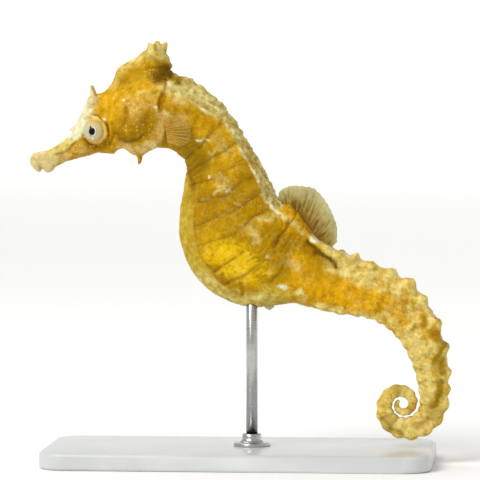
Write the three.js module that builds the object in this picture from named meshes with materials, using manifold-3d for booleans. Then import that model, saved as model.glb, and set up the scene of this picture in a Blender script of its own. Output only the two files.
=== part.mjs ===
// A White's seahorse as a still, life-size museum model on a small stand.
// Millimetres, +Z up. The head points along -X and the animal's left side faces -Y.
// The origin is at the middle of the stand's underside.
import * as THREE from "three";
import { mergeVertices } from "three/addons/utils/BufferGeometryUtils.js";
import Module from "manifold-3d";

const wasm = await Module();
wasm.setup();

// ---------------------------------------------------------------- driving sizes

const CUT = 0.3; // gap between neighbouring solids

// The body is counted in bony rings: 11 in the trunk and 34 in the tail.
const TRUNK_RINGS = 11;
const TAIL_RINGS = 34;
const RINGS = TRUNK_RINGS + TAIL_RINGS;
const TRUNK_RING_LENGTH = 3.44;
const TAIL_RING_LENGTH = 2.95; // at the tail's root
const TAIL_SHORTENING = 0.9; // share of that length lost towards the tip
const SHORTENING_POWER = 1.5;

// Midline of the body: where it starts behind the gill cover, and how steeply it runs down, by ring.
const BODY_START = { x: -12.6, z: 61.7 };
const HEADING_DEG = [
  [0, 15],
  [2, 45],
  [4, 73],
  [6, 82],
  [8, 53],
  [10, 19],
  [12, 20],
  [15, 13],
  [17, 28],
  [19, 52],
  [21, 68],
  [23, 80],
  [25.25, 92],
];
// From this ring the tail curls into a spiral whose radius shrinks evenly with length.
const COIL_START = 25.25;
const COIL_RADIUS_START = 5.6;
const COIL_RADIUS_END = 0.9;

// Half depth (back to belly) and half width (side to side) of the body, by ring.
const HALF_DEPTH = [
  [0, 6.75],
  [1.5, 6.0],
  [3, 5.8],
  [4.5, 7.15],
  [6, 8.75],
  [7.5, 9.8],
  [8.5, 9.8],
  [10, 8.8],
  [11, 7.3],
  [12, 6.1],
  [14, 5.6],
  [16, 4.95],
  [18, 4.5],
  [20, 3.85],
  [22, 3.3],
  [25, 2.65],
  [30, 1.68],
  [35, 1.02],
  [40, 0.58],
  [RINGS, 0.27],
];
const HALF_WIDTH = [
  [0, 3.7],
  [2, 3.6],
  [5, 4.5],
  [8, 5.5],
  [10, 5.1],
  [12, 4.2],
  [15, 3.7],
  [20, 3.0],
  [25, 2.2],
  [30, 1.5],
  [35, 0.95],
  [40, 0.56],
  [RINGS, 0.27],
];

// Corners of a cross-section on one side, as shares of half depth and half width:
// middle of the back, upper ridge, side ridge, lower ridge, middle of the belly.
const TRUNK_CORNERS = [
  [0.98, 0],
  [0.8, 0.56],
  [0.04, 1.0],
  [-0.64, 0.66],
  [-1.0, 0],
];
const TAIL_CORNERS = [
  [0.9, 0],
  [0.92, 0.82],
  [0.02, 0.92],
  [-0.86, 0.84],
  [-0.94, 0],
];
const CORNER_ROUNDING = 0.1; // how far a face's middle bulges past its chord

// Each ring swells between two furrows, and carries a knob on its upper ridge.
const RING_SWELL = [
  [0, 0.01],
  [4, 0.015],
  [11, 0.02],
  [14, 0.04],
  [20, 0.06],
  [30, 0.06],
  [RINGS, 0.03],
];
const KNOB_HEIGHT = [
  [0, 0.05],
  [10, 0.15],
  [13, 0.5],
  [22, 0.5],
  [30, 0.25],
  [RINGS, 0.05],
];
const KNOB_BIG_EVERY = 3; // every third ring's knob is a larger one

// Where the body is parted into lengths, by ring.
const LENGTHS = [
  ["neck", 0, 2.5],
  ["trunk_upper", 2.5, 5],
  ["trunk_middle", 5, 8],
  ["trunk_lower", 8, 11],
  ["tail_root", 11, 15],
  ["tail_upper", 15, 19],
  ["tail_middle", 19, 23],
  ["tail_lower", 23, 26],
  ["tail_curl_1", 26, 29],
  ["tail_curl_2", 29, 33],
  ["tail_curl_3", 33, 38],
  ["tail_tip", 38, RINGS],
];

// The head, seen from the side: height of its upper and lower outline along X.
const HEAD_TOP = [
  [-37.0, 53.1],
  [-36.4, 54.1],
  [-35.3, 54.5],
  [-33.7, 54.9],
  [-31.5, 56.1],
  [-30.1, 57.2],
  [-29.4, 58.8],
  [-28.3, 60.5],
  [-27.3, 62.6],
  [-26.4, 64.2],
  [-25.2, 64.6],
  [-24.1, 64.9],
  [-23.1, 65.9],
  [-22.0, 67.6],
  [-21.4, 69.0],
  [-19.8, 70.1],
  [-18.0, 71.2],
  [-16.7, 72.2],
  [-15.3, 72.4],
  [-13.9, 71.8],
  [-13.0, 70.0],
];
const HEAD_BOTTOM = [
  [-37.0, 52.9],
  [-36.4, 51.7],
  [-35.4, 51.0],
  [-34.7, 51.3],
  [-33.9, 50.8],
  [-33.2, 51.0],
  [-32.5, 51.8],
  [-29.9, 53.0],
  [-26.2, 54.0],
  [-24.8, 54.4],
  [-22.3, 54.2],
  [-21.6, 54.9],
  [-20.6, 55.1],
  [-18.3, 53.9],
  [-17.0, 54.0],
  [-15.5, 54.8],
  [-13.0, 55.3],
];
const HEAD_HALF_WIDTH = [
  [-37.0, 0.7],
  [-36.4, 1.2],
  [-35.3, 1.5],
  [-33.5, 1.5],
  [-31.5, 1.4],
  [-29.5, 1.75],
  [-27.5, 2.8],
  [-25.0, 3.2],
  [-22.5, 3.5],
  [-18.5, 4.3],
  [-15.0, 4.2],
  [-13.0, 3.8],
];
// How much narrower the crest is than the cheeks, by place along the head.
const CREST_PINCH = [
  [-32, 0],
  [-29, 0.25],
  [-25, 0.45],
  [-20, 0.68],
  [-16, 0.6],
  [-13, 0.35],
];
const SNOUT_TIP = HEAD_TOP[0][0];
const SNOUT_ROOT = -29.8;
const HEAD_REAR = -13.1;
const HEAD_STATION_STEP = 0.55;
const HEAD_LEVELS = [1, 0.95, 0.82, 0.66, 0.5, 0.34, 0.18, 0.05, 0]; // shares of the height

const EYE = { x: -25.25, y: 2.25, z: 58.25, radius: 2.1 };

// A spine is a cone from a root to a tip; the root sinks into the bone.
const EYE_SPINE = { root: [-25.7, 1.0, 63.8], tip: [-26.1, 1.15, 66.2], radius: 0.62 };
const NOSE_SPINE = { root: [-29.0, 0, 58.0], tip: [-29.9, 0, 58.7], radius: 0.5 };
const CHEEK_SPINE = { root: [-17.6, 1.0, 54.6], tip: [-17.65, 1.15, 52.4], radius: 0.62 };

// The crown on the crest: a flared cup with five points round its rim and a spine behind it.
const CORONET = { x: -14.7, z: 71.2, foot: 1.5, waist: 1.35, rim: 1.6 };
const CORONET_LEVELS = { waist: 1.0, rim: 2.0 }; // heights above its foot, which sinks into the crest
const CORONET_POINT_RADIUS = 0.55;
const CORONET_POINTS = [
  [-16.1, 0, 73.75],
  [-14.9, 1.5, 74.0],
  [-13.2, 0.9, 73.8],
];
const CORONET_BACK = { root: [-14.0, 0, 71.3], tip: [-12.6, 0, 70.8], radius: 0.6 };

// Fins are drawn from the side. Their feet run into the body and are trimmed to stand off it.
const DORSAL_FIN_EDGE = [
  [6.6, 45.9],
  [6.7, 47.0],
  [7.6, 48.1],
  [9.6, 48.7],
  [12.3, 48.5],
  [14.5, 46.7],
  [16.1, 44.0],
  [17.0, 41.2],
  [17.2, 39.8],
  [16.4, 38.9],
];
const DORSAL_FIN_FOOT = [
  [12.0, 38.5],
  [5.0, 44.0],
];
const DORSAL_FIN_THICKNESS = 0.6;
const DORSAL_HUMP = { from: 8.4, to: 11.9, height: 0.08 }; // raised foot of the fin, as a share
const PECTORAL_FIN_EDGE = [
  [0, -2.2],
  [1.6, -2.9],
  [3.0, -2.5],
  [3.7, -0.8],
  [3.5, 1.2],
  [2.3, 2.7],
  [0, 2.4],
];
const PECTORAL_FIN = { x: -12.0, y: 4.3, z: 58.3, thickness: 0.5, splayDeg: 12, tiltDeg: -8 };
const ANAL_FIN_EDGE = [
  [3.9, 29.0],
  [4.2, 27.6],
  [5.0, 27.0],
  [5.8, 27.1],
  [6.1, 27.8],
  [5.8, 29.0],
];
const ANAL_FIN_THICKNESS = 0.5;

// The display stand: a plate, a rod into the belly and a turned collar at its foot.
const BASE = { length: 68, width: 32, height: 3, corner: 5, bevel: 0.6 };
const ROD = { x: 2.1, radius: 1.0, top: 29.6, segments: 24 };
const SOCKET_RADIUS = ROD.radius + CUT;
const FOOT = { radius: 3.2, neck: 1.7, height: 2.2, hole: ROD.radius + 0.1 };

// ---------------------------------------------------------------- smooth curves through keys

function keySlope(keys, i) {
  const before = Math.max(i - 1, 0);
  const after = Math.min(i + 1, keys.length - 1);
  const rise = (a, b) => (keys[b][1] - keys[a][1]) / (keys[b][0] - keys[a][0]);
  if (before === i) return rise(i, after);
  if (after === i) return rise(before, i);
  const left = rise(before, i);
  const right = rise(i, after);
  return left * right <= 0 ? 0 : (2 * left * right) / (left + right);
}

// The value at t of a curve through [place, value] keys that never overshoots them.
function along(keys, t) {
  if (t <= keys[0][0]) return keys[0][1];
  const last = keys.length - 1;
  if (t >= keys[last][0]) return keys[last][1];
  let i = 0;
  while (keys[i + 1][0] < t) i++;
  const span = keys[i + 1][0] - keys[i][0];
  const f = (t - keys[i][0]) / span;
  const from = keys[i][1] + keySlope(keys, i) * span * f;
  const to = keys[i + 1][1] - keySlope(keys, i + 1) * span * (1 - f);
  const g = 1 - f;
  return (
    keys[i][1] * g * g * (1 + 2 * f) +
    keys[i + 1][1] * f * f * (1 + 2 * g) +
    (from - keys[i][1]) * g * g +
    (to - keys[i + 1][1]) * f * f
  );
}

const mix = (a, b, f) => a + (b - a) * f;
const smooth = (low, high, t) => THREE.MathUtils.smoothstep(t, low, high);

// ---------------------------------------------------------------- the body's midline

function ringLength(ring) {
  if (ring < TRUNK_RINGS) return TRUNK_RING_LENGTH;
  const share = (ring - TRUNK_RINGS) / TAIL_RINGS;
  return TAIL_RING_LENGTH * (1 - TAIL_SHORTENING * share ** SHORTENING_POWER);
}

// Length of tail between two rings.
function tailLength(from, to) {
  const upTo = (ring) => {
    const share = (ring - TRUNK_RINGS) / TAIL_RINGS;
    const power = SHORTENING_POWER + 1;
    return TAIL_RING_LENGTH * TAIL_RINGS * (share - (TAIL_SHORTENING * share ** power) / power);
  };
  return upTo(to) - upTo(from);
}

const COIL_RATE = (COIL_RADIUS_START - COIL_RADIUS_END) / tailLength(COIL_START, RINGS);

// How steeply the midline runs down at a ring, in radians.
function heading(ring) {
  const straight = THREE.MathUtils.degToRad(along(HEADING_DEG, ring));
  if (ring <= COIL_START) return straight;
  const radius = COIL_RADIUS_START - COIL_RATE * tailLength(COIL_START, ring);
  return straight + Math.log(COIL_RADIUS_START / radius) / COIL_RATE;
}

const MIDLINE_STEP = 0.05;
const midline = [{ ...BODY_START }];
for (let ring = 0; ring < RINGS - MIDLINE_STEP / 2; ring += MIDLINE_STEP) {
  const middle = ring + MIDLINE_STEP / 2;
  const length = ringLength(middle) * MIDLINE_STEP;
  const from = midline.at(-1);
  const angle = heading(middle);
  midline.push({ x: from.x + Math.cos(angle) * length, z: from.z - Math.sin(angle) * length });
}

// Point of the body at a ring, out of the midline by `out` towards the back and `side` along Y.
function bodyPoint(ring, out, side) {
  const place = Math.min(Math.max(ring, 0), RINGS) / MIDLINE_STEP;
  const i = Math.min(Math.floor(place), midline.length - 2);
  const f = place - i;
  const angle = heading(ring);
  const x = mix(midline[i].x, midline[i + 1].x, f) + Math.sin(angle) * out;
  const z = mix(midline[i].z, midline[i + 1].z, f) + Math.cos(angle) * out;
  return new THREE.Vector3(x, side, z);
}

// ---------------------------------------------------------------- cross-sections

// Adds a bulged point between each two corners of one side, then mirrors the side.
function closedOutline(corners) {
  const side = [];
  for (let i = 0; i + 1 < corners.length; i++) {
    const [n0, y0] = corners[i];
    const [n1, y1] = corners[i + 1];
    side.push([n0, y0]);
    side.push([((n0 + n1) / 2) * (1 + CORNER_ROUNDING), ((y0 + y1) / 2) * (1 + CORNER_ROUNDING)]);
  }
  side.push(corners.at(-1));
  const other = side.slice(1, -1).reverse();
  return [...side, ...other.map(([n, y]) => [n, -y])];
}

function knob(ring) {
  const big = Math.floor(ring) % KNOB_BIG_EVERY === 0 ? 1 : 0.45;
  return along(KNOB_HEIGHT, ring) * big;
}

// The back is raised under the dorsal fin.
function hump(ring) {
  const share = (ring - DORSAL_HUMP.from) / (DORSAL_HUMP.to - DORSAL_HUMP.from);
  const inside = share > 0 && share < 1;
  return inside ? DORSAL_HUMP.height * Math.sin(Math.PI * share) : 0;
}

function bodySection(ring) {
  const tailShare = smooth(9.5, 13, ring);
  const depth = along(HALF_DEPTH, ring);
  const width = along(HALF_WIDTH, ring);
  const crest = (1 - Math.cos(2 * Math.PI * ring)) / 2; // 0 in a furrow, 1 on a ring
  const swell = 1 + along(RING_SWELL, ring) * (2 * crest - 1);
  const corners = TRUNK_CORNERS.map(([n, y], i) => [
    mix(n, TAIL_CORNERS[i][0], tailShare),
    mix(y, TAIL_CORNERS[i][1], tailShare),
  ]);
  corners[0][0] += hump(ring);
  const outline = closedOutline(corners).map(([n, y]) => [n * depth * swell, y * width * swell]);
  const upperRidge = 2;
  for (const i of [upperRidge, outline.length - upperRidge]) {
    const [n, y] = outline[i];
    const stretch = 1 + (knob(ring) * crest) / Math.hypot(n, y);
    outline[i] = [n * stretch, y * stretch];
  }
  return outline.map(([n, y]) => bodyPoint(ring, n, y));
}

// Half width of the head at a share of its height, from 0 at the throat to 1 on the crest.
function headHalfWidth(x, share) {
  const round = Math.sqrt(Math.max(0, 1 - (2 * share - 1) ** 2));
  const pinch = 1 - along(CREST_PINCH, x) * smooth(0.35, 0.95, share);
  return along(HEAD_HALF_WIDTH, x) * Math.pow(round, 0.85) * pinch;
}

function headSection(x) {
  const bottom = along(HEAD_BOTTOM, x);
  const top = along(HEAD_TOP, x);
  const side = HEAD_LEVELS.map(
    (share) => new THREE.Vector3(x, headHalfWidth(x, share), mix(bottom, top, share)),
  );
  const other = side.slice(1, -1).reverse();
  return [...side, ...other.map((p) => new THREE.Vector3(p.x, -p.y, p.z))];
}

// ---------------------------------------------------------------- geometry helpers

// A closed skin over sections that have the same number of points.
function loft(sections) {
  const count = sections[0].length;
  const points = sections.flat();
  const index = [];
  for (let i = 0; i + 1 < sections.length; i++) {
    for (let j = 0; j < count; j++) {
      const a = i * count + j;
      const b = i * count + ((j + 1) % count);
      index.push(b, a, a + count, b, a + count, b + count);
    }
  }
  for (const [first, turned] of [
    [0, false],
    [(sections.length - 1) * count, true],
  ]) {
    const middle = points.length;
    const ring = points.slice(first, first + count);
    points.push(ring.reduce((sum, p) => sum.add(p), new THREE.Vector3()).divideScalar(count));
    for (let j = 0; j < count; j++) {
      const a = first + j;
      const b = first + ((j + 1) % count);
      index.push(...(turned ? [b, a, middle] : [a, b, middle]));
    }
  }
  const geometry = new THREE.BufferGeometry().setFromPoints(points);
  geometry.setIndex(index);
  return geometry;
}

function toSolid(geometry) {
  const bare = geometry.clone();
  bare.deleteAttribute("normal");
  bare.deleteAttribute("uv");
  const merged = mergeVertices(bare, 1e-4);
  return new wasm.Manifold(
    new wasm.Mesh({
      numProp: 3,
      vertProperties: merged.attributes.position.array,
      triVerts: new Uint32Array(merged.index.array),
    }),
  );
}

function toGeometry(solid) {
  const { vertProperties, triVerts } = solid.getMesh();
  const geometry = new THREE.BufferGeometry();
  geometry.setAttribute("position", new THREE.BufferAttribute(new Float32Array(vertProperties), 3));
  geometry.setIndex(new THREE.BufferAttribute(triVerts, 1));
  return geometry;
}

// A blunt cone from a point to a point.
function spine(root, tip, radius, tipRadius = 0.18) {
  const from = new THREE.Vector3(...root);
  const way = new THREE.Vector3(...tip).sub(from);
  const geometry = new THREE.CylinderGeometry(tipRadius, radius, way.length(), 8);
  geometry.translate(0, way.length() / 2, 0);
  const up = new THREE.Vector3(0, 1, 0);
  geometry.applyQuaternion(new THREE.Quaternion().setFromUnitVectors(up, way.normalize()));
  return toSolid(geometry.translate(from.x, from.y, from.z));
}

const mirrored = ([x, y, z]) => [x, -y, z];

function spinePair({ root, tip, radius }) {
  return spine(root, tip, radius).add(spine(mirrored(root), mirrored(tip), radius));
}

function ball(x, y, z, radius, parts = 20) {
  return new THREE.SphereGeometry(radius, parts, parts / 2).translate(x, y, z);
}

// A flat plate centred on Y = 0, drawn in X and Z: a smooth edge closed by a straight-sided foot.
function plate(edge, foot, thickness, curveSegments = 3) {
  const shape = new THREE.Shape();
  shape.moveTo(...edge[0]);
  shape.splineThru(edge.slice(1).map(([x, z]) => new THREE.Vector2(x, z)));
  for (const [x, z] of foot) shape.lineTo(x, z);
  const settings = { depth: thickness, bevelEnabled: false, curveSegments };
  const geometry = new THREE.ExtrudeGeometry(shape, settings);
  geometry.rotateX(Math.PI / 2);
  return geometry.translate(0, thickness / 2, 0);
}

function roundedPlate({ length, width, height, corner, bevel }) {
  const x = length / 2 - bevel;
  const y = width / 2 - bevel;
  const r = corner - bevel;
  const shape = new THREE.Shape();
  shape.moveTo(x, y - r);
  shape.absarc(x - r, y - r, r, 0, Math.PI / 2);
  shape.absarc(r - x, y - r, r, Math.PI / 2, Math.PI);
  shape.absarc(r - x, r - y, r, Math.PI, 1.5 * Math.PI);
  shape.absarc(x - r, r - y, r, 1.5 * Math.PI, 2 * Math.PI);
  const geometry = new THREE.ExtrudeGeometry(shape, {
    depth: height - 2 * bevel,
    bevelThickness: bevel,
    bevelSize: bevel,
    bevelSegments: 2,
    curveSegments: 8,
  });
  return geometry.translate(0, 0, bevel);
}

// A shape turned about the upright axis, from [radius, height] points.
function turned(profile, segments) {
  const points = profile.map(([radius, height]) => new THREE.Vector2(radius, height));
  return new THREE.LatheGeometry(points, segments).rotateX(Math.PI / 2);
}

function upright(radius, from, to, segments) {
  const geometry = new THREE.CylinderGeometry(radius, radius, to - from, segments);
  return geometry.rotateX(Math.PI / 2).translate(0, 0, (from + to) / 2);
}

// ---------------------------------------------------------------- materials

const paint = (color, roughness, metalness = 0) =>
  new THREE.MeshStandardMaterial({ color, roughness, metalness });

const materials = {
  head: paint(0xd6a02c, 0.5),
  coronet: paint(0xd9c67c, 0.55),
  trunk: paint(0xc79a1c, 0.5),
  tail: paint(0xd8b250, 0.5),
  fin: paint(0xbdb584, 0.55),
  eye: paint(0xd2c4a0, 0.15),
  acrylic: paint(0xe6e6e2, 0.35),
  steel: paint(0xb8bab8, 0.3, 1),
};

const seahorse = new THREE.Group();

function add(name, geometry, material) {
  const mesh = new THREE.Mesh(geometry, material);
  mesh.name = name;
  seahorse.add(mesh);
  return mesh;
}

// ---------------------------------------------------------------- body lengths

// Sections of the body between two rings, at least one at every furrow and every ring's middle.
function bodySections(from, to) {
  const between = [];
  for (let half = Math.ceil(from * 2 + 0.2); half < to * 2 - 0.2; half++) between.push(half / 2);
  return [from, ...between, to].map(bodySection);
}

function bodyLength(from, to) {
  const inset = (ring) => CUT / 2 / ringLength(ring);
  return bodySections(from + inset(from), to === RINGS ? to : to - inset(to));
}

for (const [name, from, to] of LENGTHS) {
  const sections = bodyLength(from, to);
  if (name === "neck") {
    // The neck starts on the head's flat rear and turns into the body's own sections.
    const front = headSection(HEAD_REAR).map((p) => p.setX(HEAD_REAR + CUT));
    sections.splice(0, 3, front);
  }
  let solid = toSolid(loft(sections));
  if (name === "trunk_lower") {
    const socket = upright(SOCKET_RADIUS, BASE.height, ROD.top + CUT, ROD.segments);
    solid = solid.subtract(toSolid(socket.translate(ROD.x, 0, 0)));
  }
  add(name, toGeometry(solid), from < TRUNK_RINGS ? materials.trunk : materials.tail);
}

// ---------------------------------------------------------------- head

function headLength(from, to) {
  const steps = Math.ceil((to - from) / HEAD_STATION_STEP);
  const stations = Array.from({ length: steps + 1 }, (_, i) => mix(from, to, i / steps));
  return loft(stations.map(headSection));
}

add("snout", headLength(SNOUT_TIP, SNOUT_ROOT - CUT), materials.head);

let head = toSolid(headLength(SNOUT_ROOT, HEAD_REAR));
head = head.add(spinePair(EYE_SPINE)).add(spinePair(CHEEK_SPINE));
head = head.add(spine(NOSE_SPINE.root, NOSE_SPINE.tip, NOSE_SPINE.radius));
for (const side of [1, -1]) {
  head = head.subtract(toSolid(ball(EYE.x, side * EYE.y, EYE.z, EYE.radius + CUT)));
  const name = side < 0 ? "eye_left" : "eye_right";
  add(name, ball(EYE.x, side * EYE.y, EYE.z, EYE.radius), materials.eye);
}
add("head", toGeometry(head), materials.head);

// ---------------------------------------------------------------- coronet

const cupProfile = [
  [0, 0],
  [CORONET.foot, 0],
  [CORONET.waist, CORONET_LEVELS.waist],
  [CORONET.rim, CORONET_LEVELS.rim],
  [0, CORONET_LEVELS.rim - 0.3],
];
const cup = turned(cupProfile, 12).translate(CORONET.x, 0, CORONET.z);
let coronet = toSolid(cup);
for (const tip of CORONET_POINTS) {
  for (const point of tip[1] === 0 ? [tip] : [tip, mirrored(tip)]) {
    const root = [mix(CORONET.x, point[0], 0.55), point[1] * 0.55, CORONET.z + 1.1];
    coronet = coronet.add(spine(root, point, CORONET_POINT_RADIUS));
  }
}
coronet = coronet.add(spine(CORONET_BACK.root, CORONET_BACK.tip, CORONET_BACK.radius));
coronet = coronet.subtract(head.translate([0, 0, CUT]));
add("coronet", toGeometry(coronet), materials.coronet);

// ---------------------------------------------------------------- fins

// The part of a fin that stands clear of the body, which is moved towards the fin by the cut.
function clearOfBody(geometry, wayX, wayZ) {
  const body = toSolid(loft(bodySections(5, 15)));
  return toGeometry(toSolid(geometry).subtract(body.translate([wayX * CUT, 0, wayZ * CUT])));
}

const dorsalFin = plate(DORSAL_FIN_EDGE, DORSAL_FIN_FOOT, DORSAL_FIN_THICKNESS);
add("dorsal_fin", clearOfBody(dorsalFin, 0.7, 0.7), materials.fin);
add("anal_fin", clearOfBody(plate(ANAL_FIN_EDGE, [], ANAL_FIN_THICKNESS), 0, -1), materials.fin);
for (const side of [1, -1]) {
  const geometry = plate(PECTORAL_FIN_EDGE, [], PECTORAL_FIN.thickness);
  geometry.rotateY(THREE.MathUtils.degToRad(PECTORAL_FIN.tiltDeg));
  geometry.rotateZ(THREE.MathUtils.degToRad(side * PECTORAL_FIN.splayDeg));
  geometry.translate(PECTORAL_FIN.x, side * PECTORAL_FIN.y, PECTORAL_FIN.z);
  add(side < 0 ? "pectoral_fin_left" : "pectoral_fin_right", geometry, materials.fin);
}

// ---------------------------------------------------------------- stand

add("stand_base", roundedPlate(BASE), materials.acrylic);
const rod = upright(ROD.radius, BASE.height, ROD.top, ROD.segments);
add("stand_rod", rod.translate(ROD.x, 0, 0), materials.steel);
const collarProfile = [
  [FOOT.hole, 0],
  [FOOT.radius, 0],
  [FOOT.radius, 0.6],
  [FOOT.neck, 1.2],
  [FOOT.neck, FOOT.height],
  [FOOT.hole, FOOT.height],
  [FOOT.hole, 0],
];
const collar = turned(collarProfile, 32).translate(ROD.x, 0, BASE.height);
add("stand_foot", collar, materials.steel);

export default seahorse;
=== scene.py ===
"""A White's seahorse as a still, life-size museum model on a small stand.

Lengths are millimetres until a mesh is made, and metres from then on. +Z is up, the head points along -X
and the animal's left side faces -Y. Places along the body are counted in bony rings from the gill cover:
11 rings in the trunk and 34 in the tail. The animal is alike on both sides.
"""

from __future__ import annotations

import logging
import math
from dataclasses import dataclass, replace
from enum import Enum
from functools import cached_property, partial
from itertools import product
from typing import Callable, ClassVar

import bmesh
import bpy
import numpy as np
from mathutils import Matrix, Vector

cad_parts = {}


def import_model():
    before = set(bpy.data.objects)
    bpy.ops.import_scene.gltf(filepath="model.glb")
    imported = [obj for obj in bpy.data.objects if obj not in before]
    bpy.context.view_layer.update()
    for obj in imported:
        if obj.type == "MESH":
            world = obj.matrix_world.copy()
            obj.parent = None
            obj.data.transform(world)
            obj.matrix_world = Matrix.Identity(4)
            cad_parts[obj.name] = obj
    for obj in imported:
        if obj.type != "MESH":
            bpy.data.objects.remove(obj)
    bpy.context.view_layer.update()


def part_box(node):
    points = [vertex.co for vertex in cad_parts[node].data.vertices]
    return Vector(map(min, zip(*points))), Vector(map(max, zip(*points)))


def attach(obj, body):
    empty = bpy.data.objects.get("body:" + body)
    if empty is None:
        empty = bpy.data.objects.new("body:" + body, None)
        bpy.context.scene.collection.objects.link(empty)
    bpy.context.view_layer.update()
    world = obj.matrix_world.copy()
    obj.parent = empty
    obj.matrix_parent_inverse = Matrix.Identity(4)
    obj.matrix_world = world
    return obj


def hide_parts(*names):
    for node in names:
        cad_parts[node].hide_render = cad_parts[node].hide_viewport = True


LOG = logging.getLogger("seahorse")
MM = 0.001
BODY = "root"
Array = np.ndarray
Pair = tuple[float, float]
Triple = tuple[float, float, float]
Points = tuple[Pair, ...]
Bands = tuple[tuple[float, str], ...]
Piece = bpy.types.Object
Tree = bpy.types.NodeTree
Node = bpy.types.Node
Socket = bpy.types.NodeSocket
Value = float | Node | Socket
Add = Callable[..., Node]


# ------------ small maths


def ease(low: float, high: float, t: Array) -> Array:
    """Rises smoothly from 0 at low to 1 at high."""
    f = np.clip((np.asarray(t, float) - low) / (high - low), 0, 1)
    return f * f * (3 - 2 * f)


def mix(a: Array, b: Array, share: Array) -> Array:
    """Goes from a to b as share goes from 0 to 1."""
    return a + (b - a) * share


def hill(distance: Array, reach: float) -> Array:
    """A round hill, 1 at its middle and nearly 0 at twice its reach."""
    return np.exp(-((distance / reach) ** 2))


def soft_union(a: Array, b: Array, fillet: Array) -> Array:
    """Joins two solids, given as distances, with a fillet of about that radius."""
    overlap = np.clip(fillet - np.abs(a - b), 0, None) / fillet
    return np.minimum(a, b) - overlap**2 * fillet / 4


def soft_cut(a: Array, b: Array, fillet: float) -> Array:
    """Keeps what is inside both solids, with a rounded edge where they meet."""
    return -soft_union(-a, -b, fillet)


def drawn(x: Array, y: Array, z: Array) -> tuple[Array, Array]:
    """Gives where a point shows in the side drawing, seen from 5 degrees behind and 3 above level."""
    sine_5_deg, sine_3_deg = 0.087, 0.052
    return x - sine_5_deg * np.abs(y), z - sine_3_deg * np.abs(y)


class Keys:
    """A smooth curve through (place, value) keys that never overshoots them."""

    def __init__(self, *keys: Pair) -> None:
        """Takes the keys in the order of their places."""
        self.places, self.values = np.array(keys, float).T
        rise = np.diff(self.values) / np.diff(self.places)
        both = rise[:-1] * rise[1:]
        total = np.where(both > 0, rise[:-1] + rise[1:], 1)
        self.slopes = np.concatenate(([rise[0]], np.where(both > 0, 2 * both / total, 0), [rise[-1]]))

    def at(self, place: Array) -> Array:
        """Gives the curve's value at each place, held level past the ends."""
        xs, ys, slope = self.places, self.values, self.slopes
        t = np.clip(np.asarray(place, float), xs[0], xs[-1])
        i = np.clip(np.searchsorted(xs, t, side="right") - 1, 0, len(xs) - 2)
        span = xs[i + 1] - xs[i]
        f = (t - xs[i]) / span
        g = 1 - f
        ends = ys[i] * g * g * (1 + 2 * f) + ys[i + 1] * f * f * (1 + 2 * g)
        return ends + (slope[i] * g - slope[i + 1] * f) * span * f * g


class Path:
    """A line of points drawn from the side, in X and Z."""

    def __init__(self, *points: Pair) -> None:
        """Takes the points in order."""
        self.points = points

    def distance(self, x: Array, z: Array) -> Array:
        """Gives how far each place is from the line."""
        nearest = np.full(np.shape(x), np.inf)
        ends = self.points[1:] or self.points
        for (x0, z0), (x1, z1) in zip(self.points, ends):
            length = max((x1 - x0) ** 2 + (z1 - z0) ** 2, 1e-9)
            t = np.clip(((x - x0) * (x1 - x0) + (z - z0) * (z1 - z0)) / length, 0, 1)
            nearest = np.minimum(nearest, np.hypot(x - mix(x0, x1, t), z - mix(z0, z1, t)))
        return nearest


@dataclass(frozen=True)
class Lumps:
    """Soft random hills and hollows from about -1 to 1, the same on every run.

    Attributes:
        spacing: Distance from one hill to the next.
        seed: Which random hills they are.
        layers: How many layers are added up, each half as wide and as high as the one before.
    """

    spacing: float
    seed: int
    layers: int = 1

    def at(self, points: Array) -> Array:
        """Gives the height at each (x, y, z) point."""
        total = np.zeros(len(points))
        for layer in range(self.layers):
            share = 0.5**layer
            total += share * self._layer(points / (self.spacing * share), self.seed + 100 * layer)
        return total

    @staticmethod
    def _layer(cell: Array, seed: int) -> Array:
        """Gives one layer of hills, one to a unit."""
        count = 32
        table = np.random.default_rng(seed).uniform(-1, 1, (count, count, count))
        base = np.floor(cell).astype(int)
        share = cell - base
        share = share * share * (3 - 2 * share)
        total = np.zeros(len(cell))
        for corner in product((0, 1), repeat=3):
            weight = np.prod(np.where(corner, share, 1 - share), axis=1)
            i, j, k = ((base + corner) % count).T
            total += weight * table[i, j, k]
        return total


class Stroke(Path):
    """A soft stroke along a path, by its reach, its strength and its points."""

    def __init__(self, reach: float, strength: float, *points: Pair) -> None:
        """Takes the stroke's sizes and points."""
        super().__init__(*points)
        self.reach, self.strength = reach, strength


class Fold(Stroke):
    """A groove or a raised line in the skin; its strength is its height."""

    def at(self, x: Array, z: Array) -> Array:
        """Gives how far the skin is raised, or sunk where negative."""
        return self.strength * hill(self.distance(x, z), self.reach)


@dataclass(frozen=True)
class Wrinkles:
    """Fine parallel wrinkles that fill a patch of skin, drawn from the side.

    Attributes:
        patch: The middle of the patch.
        reach: How far the patch spreads round it.
        rise_deg: How steeply the wrinkles rise towards +X.
        spacing: Distance between wrinkles.
    """

    patch: Path
    reach: float
    rise_deg: float
    spacing: float

    def at(self, points: Array) -> Array:
        """Gives 1 in a wrinkle's trough and 0 between wrinkles and off the patch."""
        x, _, z = points.T
        rise = math.radians(self.rise_deg)
        across = z * math.cos(rise) - x * math.sin(rise) + 0.5 * Lumps(2.2, 61, 2).at(points)
        trough = (0.5 + 0.5 * np.cos(2 * np.pi * across / self.spacing)) ** 3
        broken = ease(-0.5, 0.3, Lumps(1.4, 63).at(points))
        return trough * broken * hill(self.patch.distance(x, z), self.reach)


# ------------ the body's course and sections

TRUNK_RINGS = 11
TAIL_RINGS = 34
RINGS = TRUNK_RINGS + TAIL_RINGS
TRUNK_RING_LENGTH = 3.44


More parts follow.
